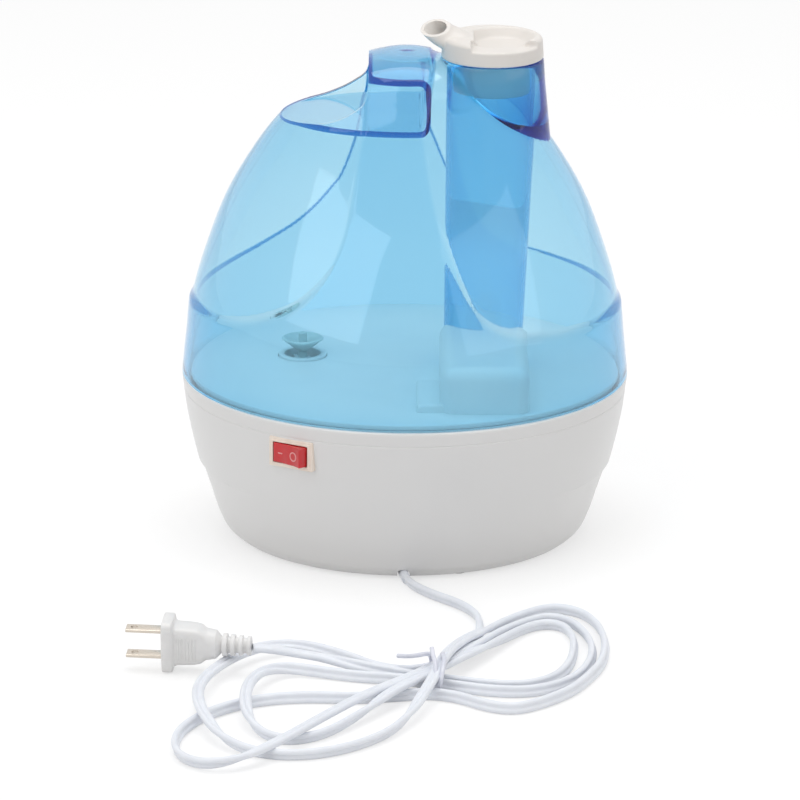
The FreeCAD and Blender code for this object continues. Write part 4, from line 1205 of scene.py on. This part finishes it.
# the cord's control points in metres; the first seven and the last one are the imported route's,
# and the two before the last lie within a millimetre of it
CORD_ROUTE = (
    (0.0, -0.0665, 0.0029), (-0.001, -0.081, 0.0029), (0.003, -0.1, 0.0029), (0.014, -0.116, 0.0029),
    (0.027, -0.129, 0.0029), (0.035, -0.145, 0.0029), (0.036, -0.16, 0.0029),
    # down to the tie, and the first left loop
    (0.035, -0.177, 0.0029), (0.029, -0.194, 0.0029), (0.021, -0.21, 0.0029), (0.012, -0.221, 0.0029),
    (0.0, -0.225, 0.0029), (-0.013, -0.219, 0.0029), (-0.025, -0.207, 0.0035), (-0.044, -0.194, 0.0045),
    (-0.061, -0.196, 0.0055), (-0.074, -0.208, 0.0058), (-0.086, -0.232, 0.0064), (-0.092, -0.255, 0.0072),
    (-0.092, -0.275, 0.0074), (-0.088, -0.297, 0.0072), (-0.08, -0.318, 0.0048), (-0.068, -0.33, 0.0029),
    (-0.05, -0.336, 0.0029), (-0.029, -0.33, 0.0029), (-0.008, -0.31, 0.0029), (0.002, -0.29, 0.0042),
    (0.009, -0.268, 0.0074), (0.014, -0.25, 0.0098), (0.017, -0.236, 0.0112), (0.02, -0.222, 0.0112),
    # the outer right loop
    (0.025, -0.204, 0.0095), (0.032, -0.186, 0.0074), (0.044, -0.162, 0.004), (0.057, -0.143, 0.0029),
    (0.07, -0.133, 0.0029), (0.083, -0.139, 0.0029), (0.091, -0.157, 0.0029), (0.094, -0.182, 0.0029),
    (0.092, -0.21, 0.0029), (0.084, -0.233, 0.0029), (0.076, -0.25, 0.0029), (0.062, -0.266, 0.0029),
    (0.05, -0.274, 0.0029), (0.038, -0.27, 0.0029), (0.025, -0.258, 0.0029), (0.012, -0.2535, 0.0029),
    # the long left loop
    (-0.002, -0.257, 0.0029), (-0.022, -0.261, 0.0029), (-0.043, -0.259, 0.0029), (-0.066, -0.264, 0.0029),
    (-0.086, -0.28, 0.0029), (-0.098, -0.302, 0.0029), (-0.101, -0.322, 0.0029), (-0.097, -0.34, 0.0029),
    (-0.085, -0.35, 0.0036), (-0.069, -0.346, 0.0058), (-0.052, -0.326, 0.0074), (-0.035, -0.297, 0.0074),
    (-0.017, -0.268, 0.0074), (0.0, -0.248, 0.0074), (0.013, -0.231, 0.0074),
    # the middle right loop
    (0.026, -0.207, 0.0066), (0.044, -0.174, 0.0042), (0.057, -0.155, 0.0029), (0.067, -0.147, 0.0029),
    (0.078, -0.152, 0.0029), (0.086, -0.173, 0.0029), (0.088, -0.198, 0.0029), (0.083, -0.224, 0.0029),
    (0.072, -0.242, 0.0029), (0.057, -0.251, 0.0029), (0.04, -0.25, 0.0029), (0.024, -0.244, 0.0029),
    (0.008, -0.238, 0.0029),
    # the short left loop
    (-0.005, -0.234, 0.0029), (-0.02, -0.232, 0.0029), (-0.038, -0.226, 0.0031), (-0.052, -0.223, 0.004),
    (-0.063, -0.232, 0.006), (-0.069, -0.25, 0.0074), (-0.071, -0.27, 0.0074), (-0.069, -0.293, 0.005),
    (-0.062, -0.309, 0.0029), (-0.05, -0.317, 0.0029), (-0.034, -0.308, 0.0029), (-0.019, -0.286, 0.0042),
    (-0.005, -0.263, 0.0074), (0.008, -0.246, 0.0078), (0.02, -0.228, 0.0078),
    # the inner right loop
    (0.032, -0.207, 0.0066), (0.046, -0.182, 0.004), (0.056, -0.164, 0.0029), (0.066, -0.156, 0.0029),
    (0.075, -0.16, 0.0029), (0.079, -0.175, 0.0029), (0.079, -0.194, 0.0029), (0.076, -0.217, 0.0029),
    (0.068, -0.235, 0.0029), (0.054, -0.244, 0.0029), (0.038, -0.242, 0.0029), (0.024, -0.2375, 0.0029),
    (0.01, -0.2325, 0.0029),
    # out of the tie to the plug
    (-0.004, -0.2275, 0.0035), (-0.019, -0.2215, 0.0042), (-0.035, -0.2165, 0.0062),
    (-0.051, -0.217, 0.0092), (-0.06, -0.2193, 0.0114), (-0.0685, -0.2208, 0.0126),
)


@dataclass
class MainsCord:
    """The flat two-core cord, tied in a figure of eight, with its tie and end sleeves."""

    width: float = 5.6
    thick: float = 3.1
    lean: float = 20.0
    flat_from: float = 3.4
    flat_to: float = 7.0
    tie_at: tuple = (16.0, -238.0)
    # rounds of the tie's wire: start and end as shares of a turn, points, x at its start, drift along x,
    # half width and half height
    rounds: tuple = ((0.08, 0.97, 16, -5.0, 8.0, 15.2, 6.6), (0.03, 0.62, 11, 2.5, -5.0, 15.6, 6.7))
    tie_level: float = 7.6
    wire_radius: float = 1.05
    # the lowest that the wire's middle may lie
    wire_rest: float = 1.15
    # length of the sleeve where the cord leaves the base, in metres
    sleeve: float = 0.026

    def spline(self, name: str, route: tuple) -> bpy.types.Object:
        """A NURBS curve object through its control points."""
        curve = bpy.data.curves.new(name, "CURVE")
        curve.dimensions, curve.resolution_u = "3D", 8
        run = curve.splines.new("NURBS")
        run.points.add(len(route) - 1)
        for point, at in zip(run.points, route):
            point.co = (*at, 1.0)
        run.order_u = 3
        run.use_endpoint_u = True
        return linked(name, curve)

    def centreline(self, route: tuple) -> np.ndarray:
        """Points, in metres, along the route's own NURBS line."""
        bare = self.spline("cord_line", route)
        line = finished_mesh(bare)
        points = np.array([v.co[:] for v in line.vertices])
        bpy.data.objects.remove(bare, do_unlink=True)
        bpy.data.meshes.remove(line)
        return points

    def profile(self) -> np.ndarray:
        """The jacket's section: two cores side by side with a shallow valley, wide along its first axis."""
        turn = np.linspace(0, 2 * math.pi, 34, endpoint=False)
        wide = self.width / 2 * np.cos(turn)
        core, spread = self.thick / 2, self.width / 2 - self.thick / 2
        high = np.sqrt(np.maximum(core**2 - np.clip(np.abs(wide) - spread, 0, None) ** 2, 0.0))
        waist = 1.0 - 0.5 * np.exp(-((wide / 0.6) ** 2))
        return np.stack([wide, np.sign(np.sin(turn)) * high * waist], axis=1)

    def build(self) -> tuple[np.ndarray, bpy.types.Object]:
        """Build the cord's mesh along its line.

        Returns:
            The line's points in metres, and the cord.
        """
        line = self.centreline(CORD_ROUTE)
        ahead = np.gradient(line, axis=0)
        ahead /= np.linalg.norm(ahead, axis=1, keepdims=True)
        up = np.array([0.0, 0.0, 1.0])
        side = np.cross(ahead, up)
        side /= np.linalg.norm(side, axis=1, keepdims=True)
        rise = np.cross(side, ahead)
        section = self.profile() * MM
        tilt = np.radians(self.lean + (86.0 - self.lean) * ramp(line[:, 2] / MM, self.flat_from, self.flat_to))
        tall = np.cos(tilt)[:, None] * rise + np.sin(tilt)[:, None] * side
        thin = np.cross(ahead, tall)
        grid = line[:, None, :] + (section[None, :, :1] * tall[:, None, :]
                                   + section[None, :, 1:] * thin[:, None, :])
        cord = to_object("mains_cord", grid.reshape(-1, 3) / MM, skin(grid, caps=True), 60.0)
        dress(cord, CORD_PVC, Body.BASE, "cord_pvc", "cord_lead", "cord_bundle", "plug_tail")
        return line, cord

    def build_sleeve(self, line: np.ndarray) -> bpy.types.Object:
        """A tapered sleeve over the cord where it leaves the base."""
        reach = np.concatenate([[0], np.cumsum(np.linalg.norm(np.diff(line, axis=0), axis=1))])
        rows = []
        turn = np.linspace(0, 2 * math.pi, 40, endpoint=False)
        for s in np.linspace(0, self.sleeve, 14):
            at = np.array([np.interp(s, reach, line[:, k]) for k in range(3)])
            ahead = np.array([np.interp(s + 0.001, reach, line[:, k]) for k in range(3)]) - at
            ahead /= np.linalg.norm(ahead)
            side = np.cross(ahead, (0, 0, 1))
            side /= np.linalg.norm(side)
            rise = np.cross(side, ahead)
            t = s / self.sleeve
            wide, tall = (2.75 - 0.75 * t) * MM, (2.86 - 0.02 * t) * MM
            rows.append(at + np.outer(np.cos(turn) * wide, side) + np.outer(np.sin(turn) * tall, rise))
        grid = np.array(rows) / MM
        sleeve = to_object("cord_sleeve", grid.reshape(-1, 3), skin(grid, caps=True), 60.0)
        dress(sleeve, CORD_PVC, Body.BASE, "cord_pvc")
        return sleeve

    def build_tie(self) -> bpy.types.Object:
        """The coated wire twisted round the bundle, with its two loose ends."""
        x, y = self.tie_at
        route = [(-2.5, y + 15.0, 10.0), (2.0, y + 12.5, 10.6), (7.0, y + 8.5, 12.6), (10.0, y + 5.5, 14.4)]
        for first, last, count, start, drift, wide, high in self.rounds:
            for t in np.linspace(first, last, count):
                a = 2 * math.pi * t
                route.append((x + start + drift * t, y + wide * math.sin(a) * 0.98 + 1.0,
                              self.tie_level + high * math.cos(a)))
        route += [(x - 1.0, y - 11.0, 10.2), (x - 1.5, y - 4.0, 14.4), (x - 2.5, y + 1.5, 15.2),
                  (x - 3.0, y + 5.0, 17.4)]
        wire = self.spline("cord_twist", [(px * MM, py * MM, max(pz, self.wire_rest) * MM) for px, py, pz in route])
        wire.data.bevel_depth, wire.data.bevel_resolution = self.wire_radius * MM, 4
        wire.data.use_fill_caps = True
        mesh = finished_mesh(wire)
        bpy.data.objects.remove(wire, do_unlink=True)
        tie = linked("cord_twist_tie", mesh, 60.0)
        dress(tie, TIE_PLASTIC, Body.BASE, "tie_film", "cord_tie")
        return tie


@dataclass
class MainsPlug:
    """The two-blade plug on its edge, drawn along X with the flange's face at x = 0."""

    roll: float = 7.0
    yaw: float = -6.0
    width: float = 25.0
    thick: float = 17.0
    blade_pitch: float = 12.7
    # stations: x, half thickness, half width, squareness
    stations: tuple = ((0.0, 7.9, 11.9, 7), (0.4, 8.4, 12.4, 7), (4.4, 8.4, 12.4, 7), (5.0, 8.0, 12.0, 7),
                       (5.6, 6.9, 9.9, 6), (7.0, 6.5, 9.3, 6), (15.0, 6.3, 8.9, 6), (18.0, 6.2, 8.2, 5),
                       (19.8, 6.3, 7.1, 3), (22.0, 6.4, 6.8, 2.6), (24.6, 6.1, 6.4, 2.4), (26.0, 4.6, 4.9, 2.4),
                       (27.0, 3.6, 3.9, 2.2), (40.4, 3.2, 3.5, 2))

    def place(self) -> Matrix:
        """Where the plug lies, in metres."""
        lean = math.radians(self.roll)
        height = self.width / 2 * math.cos(lean) + self.thick / 2 * math.sin(lean) + 0.1
        return (Matrix.Translation((-0.1095, -0.2165, height * MM)) @ Matrix.Rotation(math.radians(self.yaw), 4, "Z")
                @ Matrix.Rotation(lean, 4, "X"))

    def build(self) -> list:
        """Build and dress the plug's body, relief rings and blades."""
        rows = []
        turn = np.linspace(0, 2 * math.pi, 64, endpoint=False)
        for x, deep, wide, square in self.stations:
            power = 2.0 / square
            y = deep * np.sign(np.cos(turn)) * np.abs(np.cos(turn)) ** power
            z = wide * np.sign(np.sin(turn)) * np.abs(np.sin(turn)) ** power
            rows.append(np.stack([np.full(64, x), y, z], axis=1))
        grid = np.array(rows)
        body = to_object("plug_moulding", grid.reshape(-1, 3), skin(grid, caps=True), 42.0)
        grips = [block(f"plug_grip_{k}_{side}", (7.4 + 1.5 * k, side * 6.35 - 0.35, -6.0),
                       (8.0 + 1.5 * k, side * 6.35 + 0.35, 5.0), 0.25, 3) for k in range(6) for side in (-1, 1)]
        body = join("plug_moulding", [body, *grips])
        body.data.transform(self.place())
        dress(body, PLUG_PVC, Body.BASE, "plug_pvc", "plug_body")
        rings = ribbed("plug_relief_rings", 4, 3.7, 5.4, 2.2, 0.0)
        rings.data.transform(self.place() @ Matrix.Translation((28.6 * MM, 0, 0)))
        edge = rings.modifiers.new("edge", "BEVEL")
        edge.width, edge.segments = 0.4 * MM, 3
        bake_modifiers(rings)
        crisp(rings, 40.0)
        dress(rings, PLUG_PVC, Body.BASE, "plug_pvc")
        blades = []
        for k, side in enumerate((-1, 1)):
            z = side * self.blade_pitch / 2
            blade = block(f"blade_{k}", (-17.0, -3.15, z - 0.75), (1.0, 3.15, z + 0.75), 0.35, 3)
            hole = lathe("hole", [(0, -3), (1.6, -3), (1.6, 3), (0, 3)], (-13.2, 0.0), 40, closed=False)
            hole.data.transform(Matrix.Translation((0, 0, z * MM)))
            blades.append(carve(blade, hole))
        pair = join("plug_blade_pair", blades)
        pair.data.transform(self.place())
        dress(pair, BLADE_METAL, Body.BASE, "nickel_brass", "plug_blades")
        return [body, rings, pair]


# ------------------------------------------------------------ floor and light


@dataclass
class Studio:
    """The pale floor, the soft lights and the camera."""

    lens: float = 276.75
    tilt: float = 17.0
    roll: float = 0.4
    at: tuple = (-0.0022, -2.8689, 0.9408)

    def seen(self, tree: bpy.types.NodeTree) -> bpy.types.NodeSocket:
        """One for rays from the camera, a reflection or clear plastic."""
        path = add(tree, "ShaderNodeLightPath")
        first = add(tree, "ShaderNodeMath", {0: path.outputs["Is Camera Ray"], 1: path.outputs["Is Glossy Ray"]},
                    operation="MAXIMUM")
        return add(tree, "ShaderNodeMath", {0: first.outputs[0], 1: path.outputs["Is Transmission Ray"]},
                   operation="MAXIMUM").outputs[0]

    def build_floor(self) -> None:
        """A wide white floor that keeps a soft shadow."""
        solid = bmesh.new()
        bmesh.ops.create_grid(solid, x_segments=2, y_segments=2, size=9.0)
        mesh = bpy.data.meshes.new("studio_floor")
        solid.to_mesh(mesh)
        solid.free()
        floor = linked("studio_floor", mesh)
        material, tree = blank_material("white_sweep")
        plain = add(tree, "ShaderNodeBsdfDiffuse", {"Color": (0.8, 0.8, 0.8, 1.0)})
        shade = add(tree, "ShaderNodeBsdfDiffuse", {"Color": (0.42, 0.42, 0.42, 1.0)})
        glow = add(tree, "ShaderNodeEmission", {"Color": (1.0, 1.0, 1.0, 1.0), "Strength": 0.62})
        both = add(tree, "ShaderNodeAddShader", {0: shade.outputs[0], 1: glow.outputs[0]})
        pick = add(tree, "ShaderNodeMixShader", {0: self.seen(tree), 1: plain.outputs[0], 2: both.outputs[0]})
        add(tree, "ShaderNodeOutputMaterial", {"Surface": pick.outputs[0]})
        mesh.materials.append(material)

    def build_world(self) -> None:
        """A white room: full white where it is seen, softer as a light."""
        world = bpy.data.worlds.new("white_room")
        bpy.context.scene.world = world
        world.use_nodes = True
        tree = world.node_tree
        tree.nodes.clear()
        light = add(tree, "ShaderNodeBackground", {"Color": (1.0, 1.0, 1.0, 1.0), "Strength": 0.46})
        white = add(tree, "ShaderNodeBackground", {"Color": (1.0, 1.0, 1.0, 1.0), "Strength": 1.0})
        pick = add(tree, "ShaderNodeMixShader", {0: self.seen(tree), 1: light.outputs[0], 2: white.outputs[0]})
        add(tree, "ShaderNodeOutputWorld", {"Surface": pick.outputs[0]})

    def lamp(self, name: str, place: tuple, size: float, power: float) -> None:
        """A square soft lamp turned towards the object."""
        data = bpy.data.lights.new(name, "AREA")
        data.shape, data.size, data.energy = "SQUARE", size, power
        lamp = bpy.data.objects.new(name, data)
        lamp.location = place
        lamp.rotation_euler = (Vector((0, 0, 0.1)) - Vector(place)).to_track_quat("-Z", "Y").to_euler()
        bpy.context.scene.collection.objects.link(lamp)

    def build(self) -> None:
        """Build the stage."""
        self.build_floor()
        self.build_world()
        self.lamp("key", (-1.5, -1.5, 1.6), 2.1, 18.0)
        self.lamp("fill", (1.6, -1.2, 1.1), 1.9, 8.5)
        self.lamp("top", (0.0, 0.3, 2.0), 1.6, 18.0)
        data = bpy.data.cameras.new("camera")
        data.lens, data.sensor_width, data.clip_end = self.lens, 36.0, 60.0
        camera = bpy.data.objects.new("camera", data)
        look = (Matrix.Rotation(math.radians(90.0 - self.tilt), 4, "X")
                @ Matrix.Rotation(math.radians(self.roll), 4, "Z"))
        camera.matrix_world = Matrix.Translation(self.at) @ look
        bpy.context.scene.collection.objects.link(camera)
        bpy.context.scene.camera = camera
        bpy.context.scene.view_settings.view_transform = "Standard"


def main() -> None:
    """Build the stage, the cord and every sub-assembly in order."""
    logging.basicConfig(level=logging.INFO, format="%(message)s", stream=sys.stdout)
    Studio().build()
    cord = MainsCord()
    line, strand = cord.build()
    sleeve = cord.build_sleeve(line)
    tie = cord.build_tie()
    plug = MainsPlug().build()
    BaseShell().build()
    RockerSwitch().build()
    Innards().build()
    TankDome().build()
    MistChimney().build()
    TankFloor().build()
    FillValve().build()
    Nozzle().build()


if __name__ == "__main__":
    main()
